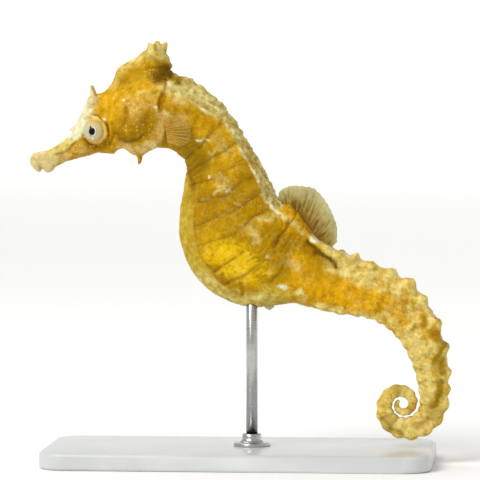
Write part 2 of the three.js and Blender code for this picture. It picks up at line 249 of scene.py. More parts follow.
@dataclass(frozen=True)
class Midline:
    """The body's middle line in the plane of symmetry, from the gill cover to the tail's tip."""

    start: Pair = (-12.6, 61.7)
    heading_deg: Keys = Keys(
        (0, 15), (2, 45), (4, 73), (6, 82), (8, 53), (10, 19), (12, 20), (15, 13), (17, 28), (19, 52),
        (21, 68), (23, 80), (25.25, 92),
    )
    tail_ring_length: float = 2.95
    tail_shortening: float = 0.9
    shortening_power: float = 1.5
    coil_start: float = 25.25
    coil_radius_start: float = 5.6
    coil_radius_end: float = 0.9
    step: float = 0.05
    locate_rounds: int = 6
    locate_batch: int = 8000

    def ring_length(self, ring: Array) -> Array:
        """Gives how long the body is at a ring, for each ring counted."""
        share = np.clip((np.asarray(ring, float) - TRUNK_RINGS) / TAIL_RINGS, 0, 1)
        tail = self.tail_ring_length * (1 - self.tail_shortening * share**self.shortening_power)
        return np.where(np.asarray(ring) < TRUNK_RINGS, TRUNK_RING_LENGTH, tail)

    def tail_length(self, start: Array, end: Array) -> Array:
        """Gives the length of tail between two rings."""
        power = self.shortening_power + 1

        def up_to(ring: Array) -> Array:
            """Length from the tail's root to a ring."""
            share = (np.asarray(ring, float) - TRUNK_RINGS) / TAIL_RINGS
            lost = self.tail_shortening * share**power / power
            return self.tail_ring_length * TAIL_RINGS * (share - lost)

        return up_to(end) - up_to(start)

    def heading(self, ring: Array) -> Array:
        """Gives how steeply the line runs down at a ring, in radians; it winds up in the coil."""
        shrink = self.coil_radius_start - self.coil_radius_end
        rate = shrink / self.tail_length(self.coil_start, RINGS)
        past = np.maximum(ring, self.coil_start)
        radius = self.coil_radius_start - rate * self.tail_length(self.coil_start, past)
        return np.radians(self.heading_deg.at(ring)) + np.log(self.coil_radius_start / radius) / rate

    @cached_property
    def trace(self) -> tuple[Array, Array, Array, Array]:
        """The line as (ring, x, z, heading), a step apart."""
        rings = np.linspace(0, RINGS, round(RINGS / self.step) + 1)
        middle = rings[:-1] + self.step / 2
        length = self.ring_length(middle) * self.step
        angle = self.heading(middle)
        x = self.start[0] + np.concatenate(([0], np.cumsum(np.cos(angle) * length)))
        z = self.start[1] - np.concatenate(([0], np.cumsum(np.sin(angle) * length)))
        return rings, x, z, self.heading(rings)

    def locate(self, x: Array, z: Array, depth: Keys) -> tuple[Array, Array, Array]:
        """Finds the body's own place for points of the plane of symmetry.

        Args:
            x: X of the points.
            z: Z of the points.
            depth: The body's half depth by ring, which says which turn of the coil a point is on.

        Returns:
            The ring, the distance out towards the back, and how far the point is along the line
            before its start (negative) or past its end (positive).
        """
        rings, xs, zs, angles = self.trace
        coarse = slice(None, None, 3)
        reach = depth.at(rings[coarse])
        ring = np.empty(len(x))
        for part in np.array_split(np.arange(len(x)), max(1, len(x) // self.locate_batch)):
            away = np.hypot(x[part, None] - xs[coarse], z[part, None] - zs[coarse]) - reach
            ring[part] = rings[coarse][np.argmin(away, axis=1)]
        turning = np.gradient(angles, rings)

        def measure() -> tuple[Array, Array]:
            """How far each point is along the line from its ring so far, and out of the line."""
            angle = np.interp(ring, rings, angles)
            dx, dz = x - np.interp(ring, rings, xs), z - np.interp(ring, rings, zs)
            return dx * np.cos(angle) - dz * np.sin(angle), dx * np.sin(angle) + dz * np.cos(angle)

        for _ in range(self.locate_rounds):
            along, out = measure()
            length = self.ring_length(ring)
            pace = np.maximum(length + np.interp(ring, rings, turning) * out, 0.3 * length)
            ring = np.clip(ring + along / pace, 0, RINGS)
        along, out = measure()
        return ring, out, np.where((ring > 0) & (ring < RINGS), 0, along)


@dataclass(frozen=True)
class Ridge:
    """A row of knobs along the body, one to a ring.

    Attributes:
        around: Where the row runs, as an angle from the middle of the back, in radians.
        height: How high its knobs stand, by ring.
        reach: Half of a knob's width.
        phase: Where in a ring the knob stands.
        own: Knobs with a place, a height and a reach of their own, up to the last of which the row
            has no others.
    """

    around: float
    height: Keys
    reach: float
    phase: float = 0.5
    own: tuple[Triple, ...] = ()

    def along(self, ring: Array, length: Array) -> Array:
        """Gives the row's height at a ring."""
        nearest = np.floor(ring) + self.phase
        total = self.height.at(ring) * hill((ring - nearest) * length, self.reach)
        if not self.own:
            return total
        total = total * ease(0, 0.5, ring - self.own[-1][0] - 0.5)
        for place, height, reach in self.own:
            total = np.maximum(total, height * hill((ring - place) * length, reach))
        return total


@dataclass(frozen=True)
class BodyForm:
    """The trunk and tail: seven-sided in the trunk, four-sided in the tail, ringed and knobbed."""

    midline: Midline = Midline()
    half_depth: Keys = Keys(
        (0, 6.75), (1.5, 6), (3, 5.8), (4.5, 7.15), (6, 8.75), (7.5, 9.8), (8.5, 9.8), (10, 8.8),
        (11, 7.3), (12, 6.1), (14, 5.6), (16, 4.95), (18, 4.5), (20, 3.85), (22, 3.3), (25, 2.65),
        (30, 1.68), (35, 1.02), (40, 0.58), (45, 0.27),
    )
    half_width: Keys = Keys(
        (0, 3.7), (2, 3.6), (5, 4.5), (8, 5.5), (10, 5.1), (12, 4.2), (15, 3.7), (20, 3), (25, 2.2),
        (30, 1.5), (35, 0.95), (40, 0.56), (45, 0.27),
    )
    trunk_corners: Points = ((0.98, 0), (0.8, 0.56), (0.04, 1), (-0.64, 0.66), (-1, 0))
    tail_corners: Points = ((0.94, 0), (0.96, 0.8), (0.02, 0.92), (-0.86, 0.84), (-0.94, 0))
    trunk_sharpness: float = 11.0
    tail_sharpness: float = 13.0
    fullness: float = 0.985
    hump: Keys = Keys(
        (6.6, 0), (7.4, 0.02), (8.2, 0.06), (9, 0.11), (9.8, 0.155), (10.4, 0.165), (10.8, 0.135),
        (11.2, 0.09), (12.3, 0.06), (13.4, 0),
    )
    keel: Keys = Keys(
        (6.4, 0), (7.2, 0.03), (7.8, 0.075), (8.3, 0.075), (8.8, 0.045), (9.4, 0.025), (10.4, 0),
    )
    swell: Keys = Keys((0, 0), (11, 0), (13, 0.01), (16, 0.03), (24, 0.03), (30, 0.05), (45, 0.03))
    ridges: tuple[Ridge, ...] = (
        Ridge(
            0.70,
            Keys((0, 0.1), (12, 0.25), (22, 0.5), (30, 0.25), (45, 0.04)),
            0.85,
            own=(
                (4.7, 0.3, 0.8), (5.5, 0.35, 0.7), (12.7, 0.3, 0.7), (13.55, 0.5, 0.6), (14.55, 0.95, 0.6),
                (15.65, 0.45, 0.9), (16.7, 0.8, 0.8), (17.75, 1.2, 0.9), (18.75, 0.75, 0.7),
                (20.2, 1, 0.9), (21.75, 1, 0.8), (23.3, 0.7, 0.8),
            ),
        ),
        Ridge(1.55, Keys((0, 0), (4, 0.12), (12, 0.15), (14, 0.25), (26, 0.25), (45, 0.03)), 0.7),
        Ridge(2.36, Keys((0, 0), (10, 0.05), (13, 0.12), (20, 0.12), (30, 0.1), (45, 0.03)), 0.8),
    )

    def around(self, ring: Array, out: Array, side: Array) -> Array:
        """Gives the angle round the body from the middle of the back, in radians."""
        return np.arctan2(np.abs(side) / self.half_width.at(ring), out / self.half_depth.at(ring))

    def relief(self, ring: Array, out: Array, side: Array) -> Array:
        """Gives how far knobs and rings stand out of the plain section."""
        length = self.midline.ring_length(ring)
        radius = (self.half_depth.at(ring) + self.half_width.at(ring)) / 2
        angle = self.around(ring, out, side)
        crest = (1 - np.cos(2 * np.pi * ring)) / 2
        total = self.swell.at(ring) * (2 * crest - 1) * radius
        for ridge in self.ridges:
            across = hill((angle - ridge.around) * radius, ridge.reach)
            total = total + ridge.along(ring, length) * across
        return total

    def distance(self, ring: Array, out: Array, past: Array, side: Array) -> Array:
        """Gives the distance to the body's surface, negative inside.

        Args:
            ring: Ring of each column of points, as a column.
            out: Distance out towards the back, as a column.
            past: Distance before the start or past the end, as a column.
            side: Distances along Y, as a row.

        Returns:
            The distances, one row for each column of points.
        """
        tail = ease(9.5, 13, ring)
        depth, width = self.half_depth.at(ring), self.half_width.at(ring)
        n, y = out / depth, np.abs(side) / width
        power = mix(self.trunk_sharpness, self.tail_sharpness, tail)
        hump, keel = self.hump.at(ring), self.keel.at(ring)
        rises = (hump, hump, 0, -0.8 * keel, -keel)
        corners = [
            (mix(a[0], b[0], tail) + rise, mix(a[1], b[1], tail))
            for a, b, rise in zip(self.trunk_corners, self.tail_corners, rises)
        ]
        faces = [(a, b, 1) for a, b in zip(corners, corners[1:])]
        faces += [(corners[0], corners[1], -1), (corners[-2], corners[-1], -1)]
        total, steep_n, steep_y = 0, 0, 0
        for (n0, y0), (n1, y1), way in faces:
            offset = (y1 - y0) * n0 + (n0 - n1) * y0
            face_n, face_y = (y1 - y0) / offset, way * (n0 - n1) / offset
            height = np.maximum(face_n * n + face_y * y, 1e-6)
            total = total + height**power
            steep_n = steep_n + height ** (power - 1) * face_n
            steep_y = steep_y + height ** (power - 1) * face_y
        gauge = total ** (1 / power)
        scale = gauge ** (1 - power)
        slope = np.hypot(steep_n * scale / depth, steep_y * scale / width)
        corner_level = self.fullness * 2 ** (1 / power)
        flat = (gauge - corner_level) / np.maximum(slope, 1e-6)
        flat = flat - self.relief(ring, out, side)
        before = np.maximum(flat, -past - 2.5)
        after = np.hypot(np.maximum(flat + width, 0), past) - width
        return np.where(ring < 1, before, np.where(past > 0, after, flat))


# ------------ the head


@dataclass(frozen=True)
class Spine:
    """A blunt cone; one off the plane of symmetry stands on both sides."""

    root: Triple
    tip: Triple
    radius: float
    tip_radius: float

    def distance(self, x: Array, y: Array, z: Array) -> Array:
        """Gives the distance to the cone's surface, negative inside."""
        a, b = np.array(self.root), np.array(self.tip)
        way = b - a
        px, py, pz = x - a[0], np.abs(y) - a[1], z - a[2]
        t = np.clip((px * way[0] + py * way[1] + pz * way[2]) / (way @ way), 0, 1)
        away = np.sqrt((px - t * way[0]) ** 2 + (py - t * way[1]) ** 2 + (pz - t * way[2]) ** 2)
        return away - mix(self.radius, self.tip_radius, t)


@dataclass(frozen=True)
class Coronet:
    """The crown on the crest: a low flared cup with a hollow top, five points and a spine behind."""

    x: float = -14.5
    z: float = 71.2
    foot: float = 1.9
    waist: float = 1.5
    rim: float = 1.65
    waist_level: float = 0.9
    rim_level: float = 2.15
    hollow: float = 0.95
    points: tuple[Spine, ...] = (
        Spine((-15.7, 0, 72.4), (-16.05, 0, 73.55), 0.65, 0.22),
        Spine((-14.5, 1, 72.6), (-14.5, 1.45, 73.8), 0.6, 0.22),
        Spine((-13.5, 0.6, 72.4), (-13.05, 0.9, 73.55), 0.6, 0.22),
        Spine((-14, 0, 71.2), (-12.55, 0, 71.05), 0.8, 0.2),
    )

    def distance(self, x: Array, y: Array, z: Array) -> Array:
        """Gives the distance to the crown's surface, negative inside."""
        level = z - self.z
        waist, rim = (self.waist_level, self.waist), (self.rim_level, self.rim)
        profile = Keys((-1.5, self.foot + 0.6), (0, self.foot), waist, rim)
        away = np.hypot(x - self.x, y)
        total = soft_cut(away - profile.at(level), np.abs(level - 0.2) - self.rim_level + 0.2, 0.3)
        for point in self.points:
            total = soft_union(total, point.distance(x, y, z), 0.45)
        well = np.sqrt((x - self.x) ** 2 + y**2 + (level - self.rim_level - 0.35) ** 2) - self.hollow
        return soft_cut(total, -well, 0.3)


@dataclass(frozen=True)
class HeadForm:
    """The head from the snout's tip to the gill cover, with its crest, folds and spines."""

    top: Keys = Keys(
        (-37, 53.1), (-36.4, 54.1), (-35.3, 54.5), (-33.7, 54.9), (-31.5, 56.1), (-30.1, 57.2),
        (-29.5, 57.7), (-29.1, 58.9), (-28.3, 60.4), (-27.3, 62.6), (-26.4, 64.2), (-25.2, 64.6),
        (-24.1, 64.9), (-23.1, 65.9), (-22, 67.6), (-21.4, 69), (-19.8, 70.1), (-18, 71.2), (-16.7, 72.2),
        (-15.3, 72.4), (-13.9, 71.8), (-13, 70), (-12, 67.5),
    )
    bottom: Keys = Keys(
        (-37, 52.9), (-36.4, 51.7), (-35.4, 51), (-34.7, 51.3), (-33.9, 50.8), (-33.2, 51), (-32.5, 51.8),
        (-29.9, 53), (-26.2, 54), (-24.8, 54.4), (-22.3, 54.2), (-21.6, 54.9), (-20.6, 55.1),
        (-18.3, 53.9), (-17, 54), (-15.5, 54.8), (-13, 55.3), (-12, 55.6),
    )
    half_width: Keys = Keys(
        (-37, 0.7), (-36.4, 1.2), (-35.3, 1.5), (-33.5, 1.5), (-31.5, 1.4), (-29.5, 1.75), (-27.5, 2.8),
        (-25, 3.2), (-22.5, 3.5), (-18.5, 4.3), (-15, 4.2), (-12, 3.8),
    )
    crest_pinch: Keys = Keys((-32, 0), (-29, 0.25), (-25, 0.45), (-20, 0.68), (-16, 0.6), (-13, 0.35))
    roundness: float = 2.353
    tip: float = -37.0
    gill_edge: Keys = Keys(
        (54, -15.2), (55.1, -14.6), (57.2, -12.8), (58.9, -12.7), (60.7, -12.9), (62.1, -13.6),
        (64.3, -13.9), (66, -13.1), (67.3, -12.9), (69.5, -12.2),
    )
    spines: tuple[Spine, ...] = (
        Spine((-25.6, 1, 63.7), (-26.05, 1.1, 66.3), 0.5, 0.13),
        Spine((-28.8, 0, 58.4), (-29.85, 0, 58.45), 0.55, 0.24),
        Spine((-17.6, 1, 54.6), (-17.65, 1.1, 52.5), 0.55, 0.2),
    )
    coronet: Coronet = Coronet()
    swellings: tuple[Fold, ...] = (
        Fold(2.6, 0.6, (-19.6, 58.6), (-16.9, 61.8)),
        Fold(2.5, 0.35, (-25.5, 58.2)),
        Fold(0.9, 0.35, (-25.6, 62.4), (-24.6, 61.6)),
        Fold(1.4, 0.3, (-20, 68), (-16.5, 69.5)),
    )
    folds: tuple[Fold, ...] = (
        # along the snout, and the mouth
        Fold(0.25, -0.13, (-32.5, 54.1), (-31.1, 54.4), (-29.9, 55), (-28.9, 56.1)),
        Fold(0.22, -0.3, (-34.8, 51), (-35, 51.9), (-35.6, 52.6), (-36.3, 53.3)),
        # two folds behind the eye and the hollow under it
        Fold(0.24, -0.26, (-23.5, 60.2), (-22.95, 58.6), (-23, 57.2), (-23.7, 55.9)),
        Fold(0.3, 0.14, (-22.9, 60.2), (-22.45, 58.6), (-22.5, 57.2), (-23.2, 55.8)),
        Fold(0.2, -0.16, (-22.3, 59.6), (-21.9, 58.2), (-22.1, 56.8), (-22.8, 55.6)),
        Fold(0.4, -0.28, (-27.3, 56.9), (-26.4, 55.7), (-24.6, 55.2), (-22.9, 55.9)),
        # under and behind the gill cover
        Fold(0.35, -0.22, (-21.6, 57.4), (-20.6, 56.6), (-19.4, 56), (-17.6, 56.4), (-16.2, 57.5)),
        Fold(0.5, -0.12, (-20.2, 62), (-20.3, 60.2), (-20.6, 58.6)),
        # a ridge over the cheek, and the gill's groove with its lip
        Fold(0.35, 0.2, (-17.8, 64.6), (-16.6, 65.1), (-15.6, 65), (-14.2, 65.8), (-13.6, 66.6)),
        Fold(0.3, -0.14, (-17.8, 63.9), (-16.4, 64.3), (-14.8, 64.5)),
        Fold(0.28, 0.3, (-13.5, 67.2), (-13.3, 66.2), (-13.6, 65.2), (-14.1, 64.2)),
        Fold(0.35, -0.14, (-13.1, 67.6), (-12.85, 66.1), (-13.2, 64.9), (-13.8, 63.4), (-13.9, 61.8)),
        # crest
        Fold(0.5, -0.18, (-22, 65), (-20.4, 66.8), (-18.4, 68), (-16.4, 68.6)),
        Fold(0.5, 0.2, (-23.4, 63.2), (-21, 62.6), (-19, 63.6)),
    )
    eye_rim_height: float = 0.16

    def gauge(self, x: Array, y: Array, z: Array) -> Array:
        """Gives 1 on the plain head's surface and less inside."""
        top, bottom = self.top.at(x), self.bottom.at(x)
        share = (z - bottom) / (top - bottom)
        pinch = 1 - self.crest_pinch.at(x) * ease(0.35, 0.95, share)
        side = np.abs(y) / (self.half_width.at(x) * pinch)
        return side**self.roundness + (2 * share - 1) ** 2

    def distance(self, x: Array, y: Array, z: Array) -> Array:
        """Gives the distance to the head's surface, negative inside."""
        near = 0.04
        level = self.gauge(x, y, z)
        slope = np.sqrt(
            (self.gauge(x + near, y, z) - self.gauge(x - near, y, z)) ** 2
            + (self.gauge(x, y + near, z) - self.gauge(x, y, z)) ** 2 * 4
            + (self.gauge(x, y, z + near) - self.gauge(x, y, z - near)) ** 2
        ) / (2 * near)
        plain = (level - 1) / np.maximum(slope, 0.05)
        flat_x, flat_z = drawn(x, y, z)
        total = plain - sum(swelling.at(flat_x, flat_z) for swelling in self.swellings)
        total = soft_cut(total, self.tip - x, 0.4)
        total = soft_cut(total, flat_x - self.gill_edge.at(flat_z), 0.9)
        for spine in self.spines:
            total = soft_union(total, spine.distance(x, y, z), 0.5)
        return soft_union(total, self.coronet.distance(x, y, z), 0.7)


def box_mm(node: str) -> tuple[Array, Array]:
    """Gives a node's lowest and highest corners in millimetres."""
    low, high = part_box(node)
    return np.array(low) / MM, np.array(high) / MM


@dataclass(frozen=True)
class EyePlace:
    """Where the eyeballs sit: X, distance off the middle, Z and radius."""

    x: float
    y: float
    z: float
    radius: float

    @classmethod
    def from_node(cls, node: str) -> "EyePlace":
        """Reads the place of an eyeball from its node."""
        low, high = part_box(node)
        middle, size = (low + high) / 2 / MM, (high - low) / MM
        return cls(middle.x, abs(middle.y), middle.z, size.z / 2)


# ------------ places on the animal


@dataclass(frozen=True)
class Lie:
    """Where points of the skin lie on the animal.

    Attributes:
        points: The points, as rows of x, y, z, with x and z as in the side drawing.
        ring: Rings counted from the gill cover.
        out: Distance from the middle line towards the back.
        depth: The body's half depth there.
        head: 1 on the head and 0 behind the gill cover.
        from_eye: Distance from the eyes' axis.
    """

    points: Array
    ring: Array
    out: Array
    depth: Array
    head: Array
    from_eye: Array

    @property
    def share(self) -> Array:
        """How far out towards the back a point lies, as a share of the half depth."""
        return self.out / self.depth

    @property
    def flow(self) -> Array:
        """The points laid along the body, squeezed lengthwise, so that lumps become streaks."""
        return np.stack([self.ring * 1.1, self.out, self.points[:, 1]], 1)

    def ragged(self) -> "Lie":
        """Gives the same points strayed a little, so that what is drawn with them has ragged edges."""
        reach = 0.5 - 0.28 * self.head
        along, across = (reach * Lumps(1.8, seed, 4).at(self.points) for seed in (41, 42))
        strayed = self.points + np.stack([along, 0 * along, across], 1)
        ring, out = self.ring + along / TRUNK_RING_LENGTH, self.out + across
        return replace(self, points=strayed, ring=ring, out=out)


@dataclass(frozen=True)
class Regions:
    """The coloured regions along the body, each given as a distance into it in millimetres."""

    stripe_edge: Keys = Keys(
        (0, 0.45), (1.6, 0.47), (2.3, 0.64), (4.5, 0.67), (6.2, 0.73), (7.2, 0.74), (8.2, 1.15),
        (10.9, 1.15), (11.9, 0.8), (12.9, 0.3), (14.2, 0.2), (15.2, 0.1), (16.8, 0), (17.6, -0.9),
        (18.2, -1.6),
    )
    belly_edge: Keys = Keys(
        (3.4, -1.2), (4.2, -0.9), (5.6, -0.72), (6.5, -0.69), (7.3, -0.75), (8.3, -0.78), (9.25, -0.82),
        (9.8, -0.56), (10.6, -0.42), (11.2, -0.6), (11.8, -1.2),
    )
    orange_edge: Keys = Keys(
        (11.4, -1.2), (12.2, -0.9), (13.1, -0.95), (14.3, -0.88), (15.4, -0.76), (16.4, -0.84),
        (17.2, -0.55), (18, -0.1), (18.8, 0.6),
    )

    @staticmethod
    def _past(edge: Keys, lie: Lie) -> Array:
        """Gives how far a point lies past an edge towards the back, less on the head."""
        return (lie.share - edge.at(lie.ring)) * lie.depth - 6 * lie.head

    def stripe(self, lie: Lie) -> Array:
        """Gives the distance into the pale stripe along the back."""
        return np.where(lie.ring < 9, self._past(self.stripe_edge, lie), -6)

    def tail(self, lie: Lie) -> Array:
        """Gives the distance into the sandy skin of the tail, round its orange sides."""
        above = self._past(self.stripe_edge, lie)
        below = (self.orange_edge.at(lie.ring) - lie.share) * lie.depth
        return np.where(lie.ring > 10.5, np.maximum(above, below), -6)

    def belly(self, lie: Lie) -> Array:
        """Gives the distance into the smooth pale belly, jagged where the plates end."""
        teeth = 0.45 * np.abs(2 * ((lie.ring + 0.35) % 1) - 1) - 0.2
        inside = (self.belly_edge.at(lie.ring) - lie.share) * lie.depth - 6 * lie.head - teeth
        return np.where(lie.ring < 12, inside, -6)


@dataclass(frozen=True)
class Plates:
    """The bony plates of the trunk: slanted, each lapping over the next like a shingle."""

    regions: Regions = Regions()
    back_slant: Keys = Keys(
        (2, 0.2), (3.1, 0.21), (5, 0.42), (5.9, 0.45), (7.2, 0.24), (8.9, -0.28), (10.2, -0.3), (11.2, 0),
    )
    belly_slant: Keys = Keys(
        (3, 0.1), (6.7, 0.08), (7.4, -0.1), (8.2, -0.13), (8.8, -0.4), (9.6, -0.4), (11.2, -0.1),
    )
    side_line: Keys = Keys(
        (1.5, 0.35), (2.5, -0.25), (4.6, -0.2), (5.35, 0.04), (6.2, 0.08), (7.6, 0.14), (8.6, 0.07),
        (9.4, 0), (10.8, 0.26), (12, 0.1),
    )
    wander: Lumps = Lumps(2.4, 11, 2)

    def count(self, lie: Lie) -> Array:
        """Gives the number of plates passed; it is whole on each plate's edge."""
        back = self.back_slant.at(lie.ring) * np.maximum(lie.out, 0)
        belly = self.belly_slant.at(lie.ring) * np.minimum(lie.out, 0)
        step = 0.07 * ease(0.15, -0.15, self.line(lie))
        slanted = lie.ring + (back + belly) / TRUNK_RING_LENGTH + 0.5 - step
        return slanted + 0.09 * self.wander.at(lie.points)

    def weight(self, lie: Lie) -> Array:
        """Gives 1 where the plates show, and 0 on the head, stripe, belly and tail."""
        total = ease(0.8, 2.4, lie.ring) * ease(11.2, 10.2, lie.ring) * (1 - lie.head)
        total *= ease(0.2, -0.4, self.regions.stripe(lie))
        return total * ease(0.4, -0.2, self.regions.belly(lie))

    def edge(self, lie: Lie) -> Array:
        """Gives the distance from the nearest edge between plates."""
        phase = self.count(lie) % 1
        return np.minimum(phase, 1 - phase) * TRUNK_RING_LENGTH

    def line(self, lie: Lie) -> Array:
        """Gives the distance above the side line, which joins the plates' corners."""
        return (lie.share - self.side_line.at(lie.ring)) * lie.depth

    def relief(self, lie: Lie) -> Array:
        """Gives each plate's rise: crowned, with a furrow and a step where it laps the next."""
        phase = self.count(lie) % 1
        crown = 0.14 * np.sin(np.pi * phase) ** 0.7
        lap = 0.14 * (0.5 - phase) * ease(0, 0.08, phase)
        furrow = -0.1 * self.crease(lie) * hill(self.edge(lie), 0.22)
        keel = 0.1 * hill(self.line(lie), 0.5) * (0.4 + 0.6 * np.sin(np.pi * phase))
        return self.weight(lie) * (crown + lap + furrow + keel - 0.08)

    def crease(self, lie: Lie) -> Array:
        """Gives how deep the crease at the nearest plate edge is: some fade out, some are deep."""
        depths = np.random.default_rng(14).uniform(0.5, 1.0, (64, 2))
        edge = np.round(self.count(lie)).astype(int) % 64
        own = depths[edge, (self.line(lie) > 0).astype(int)]
        return own * ease(-0.8, 0.1, Lumps(2.2, 23, 2).at(lie.points))

    def shade(self, lie: Lie) -> Array:
        """Gives how much lighter or darker each plate is, with soft shadow along its edges."""
        tints = np.random.default_rng(8).uniform(-0.07, 0.07, (64, 2))
        plate = np.floor(self.count(lie)).astype(int) % 64
        tint = tints[plate, (self.line(lie) > 0).astype(int)]
        shadow = 0.16 * self.crease(lie) * hill(self.edge(lie), 0.5)
        return self.weight(lie) * (tint - shadow)


# ------------ markings


class Pigment(Enum):
    """The skin's pigments in the order they lie on it, each between a dark and a light shade; the crease
    lines are painted shade, and a few marks of other pigments are painted shade and painted light.
    """

    BASE = ("#a27800", "#b98e00")
    HONEY = ("#c08d00", "#d5a618")
    ORANGE = ("#c38c00", "#d6a208")
    GOLD = ("#d2a500", "#e3bb14")
    PEACH = ("#c1983e", "#d6b26a")
    SHELL = ("#c2ab66", "#d8c591")
    SAND = ("#c4a032", "#dfcd80")
    BUTTER = ("#ab8d14", "#c0a338")
    STONE = ("#9f8b38", "#d0c380")
    CREAM = ("#c3a946", "#dccd85")
    OLIVE = ("#7e6000", "#957400")
    RUSSET = ("#8e6200", "#a57a00")
    UMBER = ("#5a3c00", "#745200")
    CREASE = ("#6b4600", "#805800")
    BONE = ("#cec793", "#e3e0be")


class Mark(Stroke):
    """A stroke of pigment."""

    def at(self, x: Array, z: Array) -> Array:
        """Gives the pigment's strength at each place."""
        return self.strength * (1 - ease(0.2, 1.7, self.distance(x, z) / self.reach))


def marks(*strokes: tuple) -> list[Mark]:
    """Makes marks from rows of reach, strength and points."""
    return [Mark(*stroke) for stroke in strokes]


